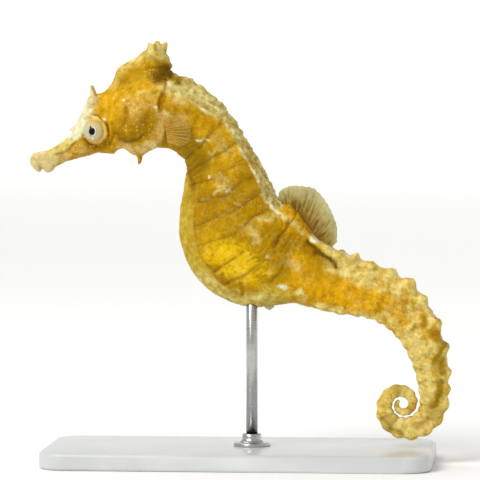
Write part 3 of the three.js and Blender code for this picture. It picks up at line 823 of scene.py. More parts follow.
P = Pigment
MARKS = {
    # crest, cheek, nape and the middle of the neck
    P.HONEY: marks(
        (3.4, 1, (-20.6, 66.4), (-18, 66.6), (-15.6, 65.4)),
        (2.4, 0.9, (-24, 62.6), (-21.6, 63), (-21.4, 60.4)), (1.2, 0.9, (-14.6, 66), (-13.8, 64.2)),
        (2, 0.8, (-12.2, 63.8), (-9.4, 63.4), (-7.4, 62.2)),
        (2.6, 0.9, (-6.8, 59), (-3.6, 57.2), (-1.8, 54.6)), (1.8, 0.6, (-1.4, 51.6), (-4.6, 50.4)),
        (1.5, 1, (24.4, 29.2), (26.6, 28), (28.4, 25.6)),
    ),
    # cheek, hump, and the tail's root and sides
    P.ORANGE: marks(
        (1.8, 0.7, (-22, 60.8), (-21.8, 57.6), (-22, 55.8)),
        (1.9, 1.1, (7.4, 44.6), (9.8, 43), (11.2, 40.8)),
        (3, 1.3, (9.6, 33.2), (14, 31.8), (17.8, 30.4), (21, 29.4)),
        (0.9, 0.9, (13.8, 38.3), (15.4, 37.1)), (1.8, 1, (21.6, 29.4), (24.6, 29.2)),
        (1, 0.9, (25.8, 30), (26.6, 27.6)), (0.8, 0.9, (28.8, 29.6), (28.2, 26.8)),
        (0.6, 0.8, (23.6, 33.2), (24.4, 31.8)), (0.8, 0.9, (31.6, 26), (31.8, 24.6)),
        (1, 0.9, (31.6, 23.4), (34.6, 22.4)), (0.7, 0.6, (28.6, 24.6), (27.6, 23.8)),
    ),
    # the golden flank
    P.GOLD: marks(
        (2.6, 1.15, (-4.4, 37.2), (-1.6, 35.6), (0.2, 35.2)),
        (2, 0.6, (-4.4, 39), (0.2, 33.6), (3, 33.4)),
    ),
    # gill cover, the lappet behind it, snout and chin
    P.PEACH: marks(
        (1.5, 0.5, (-19, 62.4), (-17.6, 62.8), (-15.6, 62.4)),
        (0.8, 0.45, (-19.4, 61.2), (-18.2, 60), (-17.6, 61.4)),
        (1, 1.1, (-13.65, 60.8), (-13.6, 59.1), (-14.2, 57)),
        (1.2, 0.5, (-32, 52.8), (-29.6, 54.2), (-27.4, 54.8)),
        (0.9, 1, (-20.6, 55.4), (-18.4, 54.6), (-16.4, 55)), (1.1, 0.7, (-11.8, 59.8), (-9.8, 59.6)),
    ),
    # the spine over the eye, and the snout
    P.SHELL: marks(
        (0.8, 1.2, (-25.7, 63.4), (-26, 64.8), (-26.3, 66.8)), (2, 2, (-36.4, 52.8), (-34, 52.6)),
        (1.2, 0.7, (-33.4, 53.2), (-31.6, 53.8)), (0.7, 0.6, (-33, 54.4), (-31, 55.4)),
    ),
    # crest, crown, gill, neck and belly, and star-like flecks on the plates
    P.CREAM: marks(
        (0.9, 0.65, (-22.8, 66.6), (-21, 69.2), (-17.9, 70.9)),
        (0.3, 0.9, (-17.8, 64.6), (-16.6, 65.1), (-15.9, 64.9)),
        (0.8, 0.45, (-15.4, 64.6), (-14.4, 65.4), (-13.9, 65.9)),
        (0.16, 1.1, (-13.6, 67.2), (-13.25, 66.6), (-13.35, 65.6), (-13.9, 64.6)),
        (0.3, 0.9, (-12.95, 61.2), (-12.8, 58.9)), (0.6, 1, (-16, 55.9), (-15.1, 55.5)),
        # a painted highlight on the rim over the eye
        (0.2, 1.2, (-26, 60.5), (-25, 60.4), (-24.4, 59.8)),
        (0.8, 1.1, (-33.4, 54.5), (-31, 55.6), (-29.6, 56.8)), (0.7, 0.6, (-19.6, 55), (-17.4, 54.8)),
        (1.6, 1, (-15.8, 73.2), (-14.4, 73), (-13.2, 72.8)),
        (1, 0.8, (-16.6, 71.6), (-14.8, 71.4), (-12.6, 71)), (1, 0.9, (-11.3, 64.9), (-11, 63.4)),
        (1.5, 0.65, (-11.6, 65), (-9.6, 64.3)), (1, 0.6, (-11.6, 57.6), (-10.6, 56.6)),
        (0.2, 1.1, (-8.6, 57.7), (-8.2, 57.9)), (0.2, 1.1, (-7, 56.5), (-6.4, 55.9)),
        (0.25, 1, (-5.8, 54.1), (-5.2, 53.6), (-4.9, 52.6)), (0.2, 1, (-5.2, 53.6), (-4.5, 54.3)),
        (0.25, 1.1, (-3.5, 50.2), (-3, 49.8)), (1, 0.65, (-3.1, 49.2), (-1.9, 48.5)),
        (0.3, 1.2, (-4.6, 47.4), (-3.9, 47.7)), (0.25, 1.1, (-6.6, 46.2), (-5.6, 46.5)),
        (0.25, 0.9, (-0.9, 45.6), (0.4, 45.1)), (1, 0.5, (-4.6, 57.2), (-2.4, 54.8)),
        (0.6, 0.7, (3.4, 42.6), (5.6, 43.2), (7.2, 43.8)), (0.9, 0.5, (1.8, 41.2), (2.6, 39.4)),
        # a pale band along the lower belly: painted light that lightens the underside
        (1.2, 0.7, (-6.9, 32.6), (-3.8, 30), (0.6, 28.4), (5.2, 28.5)),
        (0.5, 0.9, (6.6, 43.3), (8.6, 42.8), (10, 41.7), (11.2, 40.2)),
        (1.5, 0.9, (16.4, 38), (18.8, 36.4)), (0.6, 1, (9.8, 29.8), (10.8, 28.8)),
        (0.5, 0.8, (13.6, 27.4), (17.2, 26.8)), (0.7, 0.8, (7.8, 35.2), (9.8, 34.6)),
    ),
    # dark patches on cheek, neck and tail
    P.OLIVE: marks(
        (1.4, 0.35, (-21, 67.4), (-18.8, 67.6), (-16.8, 68.6)),
        (0.8, 0.9, (-21, 57.4), (-19.6, 56.7), (-18, 57)), (0.45, 0.9, (-19, 57.9), (-18.2, 57.6)),
        (0.16, 0.9, (-32.2, 54.1), (-31, 54.4), (-29.8, 55), (-28.9, 56.2)),
        (0.9, 0.35, (-14.6, 71.6), (-13.2, 72.2)), (0.5, 0.6, (-15.4, 71.2), (-14.6, 70.2)),
        (0.35, 0.7, (-14.9, 73.2), (-14.7, 72.4)), (0.8, 1.1, (-12.9, 68.4), (-12, 67.4), (-11, 66.8)),
        (2.1, 1.1, (-9.2, 56.8), (-8.2, 55), (-7.4, 52)), (1.4, 0.35, (-1.2, 43.4), (-2.6, 41.2)),
        (1.5, 0.6, (7, 35.6), (7.6, 33.6)), (1.3, 0.35, (12.4, 33.8), (15.8, 32.4)),
        (0.75, 1, (35.4, 21), (34.6, 19.4), (33.8, 18.6)), (0.7, 1, (35, 18.2), (35.2, 16.6)),
        (0.7, 1, (35, 14.8), (34.9, 12.2), (34, 10.4)), (0.6, 0.7, (28.2, 5.4), (26.2, 6.2), (25, 8)),
    ),
    # shade round gill and eye, clouds on the plates, and their tips over the belly
    P.RUSSET: marks(
        (2, 0.65, (-20.6, 58.8), (-19.4, 58.1), (-17.4, 58.8), (-16, 60)),
        (0.45, 1.1, (-19.9, 62), (-20, 60.2), (-20.4, 58.6)),
        (0.6, 0.9, (-15.6, 61.8), (-16.4, 60.6), (-17.4, 59.4)),
        (0.6, 1.3, (-13.7, 64.4), (-13.95, 63), (-14.05, 61.9)), (0.5, 1.1, (-12.7, 58.4), (-13, 56.3)),
        (0.24, 1.3, (-23.7, 60), (-23.2, 58.9), (-23.05, 57.6), (-23.2, 56.4)),
        (0.26, 0.8, (-22.5, 59.6), (-22.3, 58.2), (-22.4, 56.8), (-22.8, 55.6)),
        (0.6, 1.2, (-27.3, 57), (-26.5, 55.7), (-24.8, 55.3), (-23.2, 56)),
        (0.3, 0.5, (-25.3, 64.4), (-25.9, 65.8)), (1.5, 1.1, (-14.6, 68), (-13.4, 68.8)),
        (1.1, 0.4, (-12.4, 62.2), (-9.6, 61.8), (-7.4, 60.6)), (0.9, 0.6, (-12.4, 58), (-11, 58.3)),
        (1.5, 0.4, (-7, 61), (-4.6, 58.8), (-3.4, 56.4)), (1.3, 0.45, (-4.8, 52.8), (-3.6, 50.9)),
        (1.8, 0.5, (1.2, 52.4), (2.4, 48.8)), (1.9, 0.45, (-0.2, 46.8), (3.6, 45.2)),
        (2.4, 0.4, (-7, 46.6), (-5.2, 43.6), (-5.6, 40)), (1.7, 0.45, (5.2, 39.8), (8.6, 38.6)),
        (0.55, 1.2, (-3, 32.8), (-2.2, 31.6)), (0.5, 1.2, (-0.2, 31.4), (0.2, 29.9)),
        (0.5, 0.7, (-5.4, 34.8), (-4.4, 34)), (0.9, 0.8, (11.4, 38.6), (13, 36.8), (14.6, 35.4)),
        (0.5, 0.7, (28.9, 28.6), (28.6, 27.2)), (0.5, 0.9, (31.9, 25.6), (32, 24.6)),
        (0.5, 0.8, (33.4, 23.6), (34.8, 22)), (0.6, 0.6, (32.6, 8.4), (31, 6.6)),
    ),
    # painted shade in the hollow behind the crown and in the furrow behind the hump
    P.UMBER: marks(
        (1.1, 1.25, (-14.2, 67.6), (-13.6, 68.6), (-12.8, 68.9)), (0.5, 0.8, (-13, 69), (-12.3, 67.9)),
        (0.4, 0.6, (-8.9, 50.8), (-8.3, 49.4), (-8.1, 47.8)),
        (0.35, 1.1, (11.8, 38.9), (13.2, 37.4), (14.8, 36.2), (16.4, 34.9)),
    ),
    # painted shade: thin lines in the grooves at gill, eye and hump
    P.CREASE: marks(
        (0.2, 0.7, (-21.1, 56.6), (-19.6, 56.1), (-18.1, 56.6), (-17, 57.5)),
        (0.13, 0.7, (-13.1, 67.3), (-12.92, 66.1), (-13.25, 65), (-13.75, 64)),
        (0.14, 1.1, (-23.4, 59.4), (-23.15, 58.4), (-23.1, 57.2)),
        (0.12, 0.9, (-26.9, 60.6), (-26, 61.1), (-25, 60.9), (-24.2, 60.1)),
        (0.25, 0.8, (-27.1, 56.6), (-26.2, 55.7), (-24.6, 55.45)),
        (0.16, 0.65, (8.8, 42.9), (7.4, 40.8), (5.3, 38.3)),
        (0.14, 0.55, (7.5, 42.8), (6.1, 40.7), (4.4, 38.9)),
        (0.14, 0.5, (10, 41.6), (8.7, 39.4), (7.2, 37.2)),
    ),
    # the brow, and bright flecks
    P.BONE: marks(
        (0.2, 1.1, (-23.7, 60.2), (-23.6, 60.1)), (0.22, 1, (-20.3, 63.3), (-20.2, 63.2)),
        (0.2, 0.9, (-14.7, 62.3), (-14.65, 62.2)),
        (1.25, 2, (-29.4, 58.2), (-28.4, 59.2), (-27.8, 60.8), (-27.3, 62)),
        (0.9, 2, (-28.9, 57.6), (-27.7, 58.6)), (0.13, 1, (-7.4, 56.5), (-6.8, 56.4), (-6, 57)),
        (0.17, 1.1, (-5.25, 50.2), (-5.2, 49.9)), (0.2, 1.1, (-2.3, 47.8), (-1.7, 47.9)),
        (0.3, 1, (5, 46.2), (5.6, 44.8), (6.8, 43.4)), (0.55, 1.5, (13, 39.3), (13.3, 39.2)),
        (0.4, 1.6, (7, 31.2), (7.6, 30.8)),
    ),
}


@dataclass(frozen=True)
class Pattern:
    """The whole colour pattern: regions, marks, painted shade in the creases at plate edges, flecks,
    streaks and dots.
    """

    regions: Regions = Regions()
    plates: Plates = Plates()
    eye_rim: float = 1.93
    wrinkles: tuple[Wrinkles, ...] = (
        Wrinkles(Path((-9.2, 57), (-8.2, 54.4), (-7.8, 50.6), (-7.8, 48)), 1.5, 38, 0.85),
        Wrinkles(Path((-11.6, 61), (-10.6, 57.4)), 1.6, 2, 0.5),
        Wrinkles(Path((10, 39.8), (7, 38.2), (5, 36.6)), 2.2, 58, 1.05),
        Wrinkles(Path((4, 33.4), (2.6, 35.6)), 1.8, 30, 0.9),
        Wrinkles(Path((22, 31), (28, 27), (31.6, 20), (32, 12)), 3.2, -28, 0.8),
    )

    def strengths(self, lie: Lie) -> dict[Pigment, Array]:
        """Gives each pigment's strength at each point; past 1 it covers fully."""
        loose, body = lie.ragged(), 1 - lie.head
        total = {pigment: np.zeros(len(lie.ring)) for pigment in Pigment}

        def lay(pigment: Pigment, strength: Array) -> None:
            """Lays on a pigment where it isn't stronger already."""
            total[pigment] = np.maximum(total[pigment], strength)

        lay(P.BASE, 1)
        for pigment, strokes in MARKS.items():
            x, _, z = (lie if pigment is P.GOLD else loose).points.T
            for each in strokes:
                lay(pigment, each.at(x, z))
        lay(P.STONE, 1.05 * ease(-0.35, 0.35, self.regions.stripe(loose)) * body)
        lay(P.SAND, 1.1 * ease(-0.9, 0.9, self.regions.tail(loose)) * body)
        lay(P.BUTTER, 1.3 * ease(-0.2, 0.3, self.regions.belly(loose)) * body)
        patches = ease(0.15, 0.7, Lumps(2.6, 31, 2).at(lie.points))
        on_tail = ease(13.5, 16, lie.ring) * body
        lay(P.ORANGE, 0.55 * patches * on_tail)
        warm = np.clip(np.maximum(total[P.ORANGE], total[P.HONEY]), 0, 1)
        total[P.SAND] *= 1 - 0.85 * warm * ease(15.2, 16.6, lie.ring)
        bands = np.sin(2 * np.pi * lie.ring / 4.2) + 0.6 * Lumps(1.5, 43, 2).at(lie.points)
        bands = ease(0.3, 1.1, bands) * ease(22, 26, lie.ring)
        lay(P.OLIVE, 0.45 * bands * body)
        dark = ease(0.25, 0.8, Lumps(1.7, 33, 2).at(lie.points))
        plain = body * (1 - on_tail) * (1 - 0.8 * np.clip(total[P.GOLD], 0, 1))
        lay(P.RUSSET, 0.5 * dark * plain * (1 - 0.6 * lie.head))
        # painted shade: thin dark lines in the creases between plates, along the belly's edge and in the
        # wrinkles' troughs
        lay(P.CREASE, self.painted_crease_lines(lie))
        flecks = self.flecks(lie)
        lay(P.BONE, 1.5 * flecks - 0.75)
        lay(P.CREAM, np.maximum(flecks, self.veins(lie)))
        rim = hill(lie.from_eye - self.eye_rim, 0.26) * lie.head
        lay(P.PEACH, 1.4 * rim * (np.abs(lie.points[:, 1]) > 1.5))
        return total

    def furrows(self, lie: Lie) -> Array:
        """Gives 1 in the troughs of the fine wrinkles."""
        return sum(each.at(lie.points) for each in self.wrinkles) * (1 - lie.head)

    def painted_crease_lines(self, lie: Lie) -> Array:
        """Gives the painted shade in the creases: thin brown lines between plates and in wrinkles."""
        plates = self.plates.weight(lie) * hill(self.plates.edge(lie), 0.15) * self.plates.crease(lie)
        faint = mix(0.6, 0.25, ease(12, 15, lie.ring))
        below = hill(self.regions.belly(lie), 0.16) * ease(3.5, 5, lie.ring)
        seam = 0.5 * below * ease(10, 9, lie.ring) * self.plates.crease(lie)
        return np.maximum(0.74 * plates, np.maximum(seam, faint * self.furrows(lie)))

    def flecks(self, lie: Lie) -> Array:
        """Gives the whitish flecks at plate corners, along the stripe's lower edge and on the tail."""
        body, stripe = 1 - lie.head, self.regions.stripe(lie)
        streaks = ease(0.05, 0.6, Lumps(0.7, 25, 2).at(lie.flow))
        edge = streaks * hill(stripe - 0.1, 0.55) * ease(0.5, 1.6, lie.ring)
        sparkle = ease(0.35, 0.8, Lumps(0.5, 39).at(lie.flow))
        edge = edge + np.maximum(0.7 * streaks, 1.1 * sparkle) * ease(0, 0.4, stripe)
        corner = hill(self.plates.line(lie), 0.6) * hill(self.plates.edge(lie), 0.5)
        corner *= ease(1.5, 2.5, lie.ring) * ease(12, 11, lie.ring)
        spots = ease(-0.15, 0.35, Lumps(0.55, 27, 2).at(lie.points))
        stray = ease(0.75, 1.1, Lumps(0.8, 29, 2).at(lie.points)) * ease(2, 4, lie.ring)
        return body * np.maximum(0.85 * edge, 0.6 * corner * spots + 0.3 * stray)

    def veins(self, lie: Lie) -> Array:
        """Gives the faint pale marbling over the trunk and the tail's sides."""
        ridge = 1 - np.abs(Lumps(2, 35, 3).at(lie.points)) * 5
        return 0.2 * ease(0.2, 0.9, ridge) * (1 - lie.head) * ease(1, 3, lie.ring)

    def dots(self, lie: Lie) -> Array:
        """Gives how thickly fine pale dots are strewn."""
        side = 0.4 + 0.2 * ease(10, 12, lie.ring)
        clumps = mix(0.4, 1.0, ease(-0.4, 0.5, Lumps(1.6, 37, 2).at(lie.points)))
        x, _, z = lie.points.T
        dark = np.max([each.at(x, z) for each in MARKS[P.UMBER] + MARKS[P.OLIVE]], 0)
        strewn = np.clip(lie.head + side + 0.5 * ease(0, 1, self.regions.stripe(lie)), 0, 1)
        return strewn * clumps * np.clip(1 - 0.8 * dark, 0, 1)

    def granules(self, lie: Lie) -> Array:
        """Gives how thickly raised granules are strewn."""
        body = 1 - lie.head
        stripe = ease(-0.2, 0.5, self.regions.stripe(lie))
        hump = hill(lie.ring - 9.3, 1.6) * ease(0.75, 0.95, lie.share)
        tail = 0.12 * ease(11, 13, lie.ring) * ease(30, 20, lie.ring)
        return 0.25 * lie.head + body * np.clip(stripe + hump + tail + 0.02, 0, 1)


# ------------ one mesh from distances


@dataclass
class Net:
    """Turns distances on a grid into one closed mesh of four-sided faces."""

    xs: Array
    ys: Array
    zs: Array
    values: Array

    def separate(self) -> None:
        """Fills a corner wherever two solid corners of a grid square touch only across it."""
        rounds, just_inside = 3, -0.02
        for _ in range(rounds):
            cells = self.crossed()
            for u, v in ((0, 1), (0, 2), (1, 2)):
                step_u, step_v = np.eye(3, dtype=int)[[u, v]]
                spots = [tuple((cells + move).T) for move in (0, step_u, step_v, step_u + step_v)]
                low, side_u, side_v, high = (self.values[spot] < 0 for spot in spots)
                for touching, spot in (
                    (low & high & ~side_u & ~side_v, spots[1]),
                    (side_u & side_v & ~low & ~high, spots[0]),
                ):
                    self.values[tuple(axis[touching] for axis in spot)] = just_inside

    def crossed(self) -> Array:
        """Gives the cells that the surface runs through, as rows of three numbers."""
        inside = self.values < 0
        shape = tuple(n - 1 for n in inside.shape)
        count = np.zeros(shape, np.int8)
        for i, j, k in product((0, 1), repeat=3):
            count += inside[i : i + shape[0], j : j + shape[1], k : k + shape[2]]
        return np.argwhere((count > 0) & (count < 8))

    def mesh(self) -> tuple[Array, Array]:
        """Makes the mesh.

        Returns:
            The vertices as rows of x, y, z, and the faces as rows of four vertex numbers.
        """
        inside = self.values < 0
        cells = self.crossed()
        number = np.full(inside.shape, -1, np.int32)
        number[tuple(cells.T)] = np.arange(len(cells))
        total, crossings = np.zeros((len(cells), 3)), np.zeros((len(cells), 1))
        for corner, axis in product(product((0, 1), repeat=3), range(3)):
            if corner[axis]:
                continue
            start = cells + corner
            end = start + np.eye(3, dtype=int)[axis]
            a, b = self.values[tuple(start.T)], self.values[tuple(end.T)]
            crosses = ((a < 0) != (b < 0)).astype(float)[:, None]
            place = np.tile(np.array(corner, float), (len(cells), 1))
            place[:, axis] = a / np.where(a == b, 1, a - b)
            total += place * crosses
            crossings += crosses
        place = cells + total / crossings
        axes = (self.xs, self.ys, self.zs)
        verts = np.stack([np.interp(place[:, i], np.arange(len(a)), a) for i, a in enumerate(axes)], 1)
        faces = [self._faces_across(axis, inside, number) for axis in range(3)]
        return verts, np.concatenate(faces)

    @staticmethod
    def _faces_across(axis: int, inside: Array, number: Array) -> Array:
        """Makes one face round each grid edge along an axis that the surface crosses.

        The surface stays clear of the grid's own edge, so every such edge has four cells round it.
        """
        edges = np.argwhere(inside != np.roll(inside, -1, axis))
        step_u, step_v = np.eye(3, dtype=int)[[(axis + 1) % 3, (axis + 2) % 3]]
        around = (edges - du * step_u - dv * step_v for du, dv in ((1, 1), (0, 1), (0, 0), (1, 0)))
        faces = np.stack([number[tuple(cell.T)] for cell in around], 1)
        leaving = inside[tuple(edges.T)]
        faces[~leaving] = faces[~leaving][:, ::-1]
        return faces


def vertex_normals(verts: Array, faces: Array) -> Array:
    """Gives a unit normal at each vertex of a mesh of four-sided faces."""
    a, b, c, d = (verts[faces[:, i]] for i in range(4))
    normal = np.cross(c - a, d - b)
    total = np.zeros_like(verts)
    for i in range(4):
        np.add.at(total, faces[:, i], normal)
    return total / np.maximum(np.linalg.norm(total, axis=1, keepdims=True), 1e-12)


def ring_faces(rows: int, sides: int, closed: bool = False) -> list[tuple[int, ...]]:
    """Makes the four-sided faces between rows of points that run round an axis.

    Args:
        rows: How many rows there are.
        sides: How many points a row has.
        closed: Whether the last row joins the first.

    Returns:
        The faces, as vertex numbers.
    """
    starts = [row * sides for row in range(rows)]
    pairs = zip(starts, starts[1:] + starts[:1] * closed)
    turns = [(j, (j + 1) % sides) for j in range(sides)]
    return [(a + j, a + k, b + k, b + j) for a, b in pairs for j, k in turns]


def link_object(name: str, data: bpy.types.ID) -> Piece:
    """Makes an object at the origin and links it to the scene."""
    made = bpy.data.objects.new(name, data)
    bpy.context.scene.collection.objects.link(made)
    return made


def make_object(name: str, verts: Array, faces: Array) -> Piece:
    """Makes a smooth mesh object at the origin.

    Args:
        name: The piece's name.
        verts: Vertices in millimetres.
        faces: Faces as rows of vertex numbers.

    Returns:
        The new object, linked to the scene.
    """
    data = bpy.data.meshes.new(name)
    data.from_pydata((np.asarray(verts, float) * MM).tolist(), [], [tuple(map(int, f)) for f in faces])
    data.update()
    data.polygons.foreach_set("use_smooth", [True] * len(data.polygons))
    return link_object(name, data)


def face_outwards(piece: Piece) -> None:
    """Turns a closed piece's faces outwards."""
    shape = bmesh.new()
    shape.from_mesh(piece.data)
    bmesh.ops.recalc_face_normals(shape, faces=shape.faces)
    shape.to_mesh(piece.data)
    shape.free()


def give_values(piece: Piece, **values: Array) -> None:
    """Stores numbers for each vertex under the names that its material reads."""
    for name, each in values.items():
        attribute = piece.data.attributes.new(name, "FLOAT", "POINT")
        attribute.data.foreach_set("value", np.asarray(each, np.float32))


# ------------ materials


def srgb(text: str) -> tuple[float, float, float, float]:
    """Turns an sRGB hex value into a linear colour."""
    parts = (int(text[i : i + 2], 16) / 255 for i in (1, 3, 5))
    linear = (c / 12.92 if c <= 0.04045 else ((c + 0.055) / 1.055) ** 2.4 for c in parts)
    return (*linear, 1.0)


def per_mm(size: float) -> float:
    """Gives the texture scale of a pattern that repeats about every `size` millimetres."""
    return 1 / (size * MM)


def add_node(tree: Tree, family: str, kind: str, inputs: dict | None = None, **settings) -> Node:
    """Adds a node with its settings and links.

    Args:
        tree: The node tree.
        family: What the node's type name starts with.
        kind: The rest of its type name.
        inputs: What its inputs are given, by name or number: values, sockets, or nodes, which
            stand for their first outputs.
        **settings: The node's own properties.

    Returns:
        The new node.
    """
    node = tree.nodes.new(family + kind)
    for name, value in settings.items():
        setattr(node, name, value)
    for key, value in (inputs or {}).items():
        if isinstance(value, Node):
            value = value.outputs[0]
        if isinstance(value, Socket):
            tree.links.new(value, node.inputs[key])
        else:
            node.inputs[key].default_value = value
    return node


def weighted(add: Add, base: Value, *terms: tuple[Value, float], clamp: bool = False) -> Value:
    """Adds some values, each times its share, to a base; clamped sums stay from 0 to 1."""
    for value, share in terms:
        given = {0: value, 1: share, 2: base}
        base = add("Math", given, operation="MULTIPLY_ADD", use_clamp=clamp)
    return base


def fill_ramp(ramp: Node, bands: Bands, reach: float = 1.0) -> Node:
    """Gives a colour ramp its bands, placed from 0 to reach."""
    while len(ramp.color_ramp.elements) < len(bands):
        ramp.color_ramp.elements.new(0.5)
    for stop, (place, colour) in zip(ramp.color_ramp.elements, bands):
        stop.position, stop.color = place / reach, srgb(colour)
    return ramp


@dataclass(frozen=True)
class Finish:
    """Base of every finish: a principled shader, its constants and what is painted for it."""

    constants: ClassVar = {}
    name: str

    def paint(self, add: Add, place: Socket) -> dict[str, Value]:
        """Adds the finish's own nodes.

        Args:
            add: Adds a node to the material's tree.
            place: The piece's object coordinates.

        Returns:
            What feeds the shader's sockets, by their names.
        """
        return {}

    def build(self) -> bpy.types.Material:
        """Makes the material."""
        material = bpy.data.materials.new(self.name)
        material.use_nodes = True
        material.node_tree.nodes.clear()
        add = partial(add_node, material.node_tree, "ShaderNode")
        place = add("TexCoord").outputs["Object"]
        shader = add("BsdfPrincipled", self.constants | self.paint(add, place))
        add("OutputMaterial", {"Surface": shader})
        return material


@dataclass(frozen=True)
class SkinFinish(Finish):
    """Thin moist skin over bone: mottled pigment under a soft wet gloss, finely grained.

    Attributes:
        pallor: How far the colour is taken towards bone white, as on raised grains.
        lump_sizes: Size of the patches, the mottling and the grain, in millimetres.
        dot_spacing: Distance between the fine pale dots.
    """

    constants: ClassVar = {
        "IOR": 1.4,
        "Specular IOR Level": 0.07,
        "Subsurface Weight": 0.04,
        "Subsurface Scale": 0.6 * MM,
        "Subsurface Radius": (1, 0.85, 0.4),
    }
    pallor: float = 0.0
    lump_sizes: Triple = (2.4, 1, 0.36)
    dot_spacing: float = 0.5

    def paint(self, add: Add, place: Socket) -> dict[str, Value]:
        """Paints the pigments, dots and shade that are stored on the skin's vertices; the shade holds
        painted shadow at plate edges, and painted shade and light from the relief.
        """
        waves = []
        for size in self.lump_sizes:
            given = {"Vector": place, "Scale": per_mm(size), "Detail": 3.0, "Roughness": 0.5}
            given = {0: add("TexNoise", given), 1: 0.3, 2: 0.7, 3: -1.0, 4: 1.0}
            waves.append(add("MapRange", given))
        patch, mottle, grain = waves

        # each pigment between its two shades, patchy where it is thin
        tone = weighted(add, 0.5, (patch, 0.25), (mottle, 0.4), (grain, 0.15), clamp=True)
        patchy = weighted(add, 1.0, (patch, 0.2), (mottle, 0.4), (grain, 0.2))
        colour = srgb(Pigment.BASE.value[0])
        for pigment in Pigment:
            shades = {0: tone} | {6 + i: srgb(shade) for i, shade in enumerate(pigment.value)}
            hue = add("Mix", shades, data_type="RGBA").outputs[2]
            strength = add("Attribute", attribute_name=pigment.name.lower()).outputs["Fac"]
            amount = add("Math", {0: strength, 1: patchy}, operation="MULTIPLY", use_clamp=True)
            layers = {0: amount, 6: colour, 7: hue}
            colour = add("Mix", layers, data_type="RGBA").outputs[2]

        # fine pale dots, strewn as thickly as the skin says
        cells = add("TexVoronoi", {"Vector": place, "Scale": per_mm(self.dot_spacing)})
        chance = add("SeparateColor", {0: cells.outputs["Color"]})
        chance = weighted(add, chance, (patch, 0.2))
        dot = add("MapRange", {0: cells.outputs["Distance"], 1: 0.46, 2: 0.1})
        kept = add("MapRange", {0: chance, 1: 0.35, 2: 1.1})
        thick = add("Attribute", attribute_name="dots").outputs["Fac"]
        for share in (kept, thick):
            dot = add("Math", {0: dot, 1: share}, operation="MULTIPLY")
        cover = add("Math", {0: dot, 1: 0.85}, operation="MULTIPLY")
        for amount, pale in ((cover, "#f4d676"), (self.pallor, "#ecd68a")):
            layers = {0: amount, 6: colour, 7: srgb(pale)}
            colour = add("Mix", layers, data_type="RGBA").outputs[2]

        # painted shade and light read from the skin: plate tints, painted shadow at plate edges, painted
        # shade in hollows and painted light on raised parts; and a fine grain over all
        shade = add("Attribute", attribute_name="shade").outputs["Fac"]
        shade = weighted(add, shade, (mottle, 0.06), (grain, 0.05))
        height = weighted(add, 0.0, (mottle, 0.6), (grain, 0.5), (dot, 0.8))
        bump = add("Bump", {"Height": height, "Strength": 1.0, "Distance": 0.04 * MM})
        return {
            "Base Color": add("VectorMath", {0: colour, "Scale": shade}, operation="SCALE"),
            "Roughness": weighted(add, 0.42, (grain, 0.08)),
            "Normal": bump,
        }


# ------------ the skin


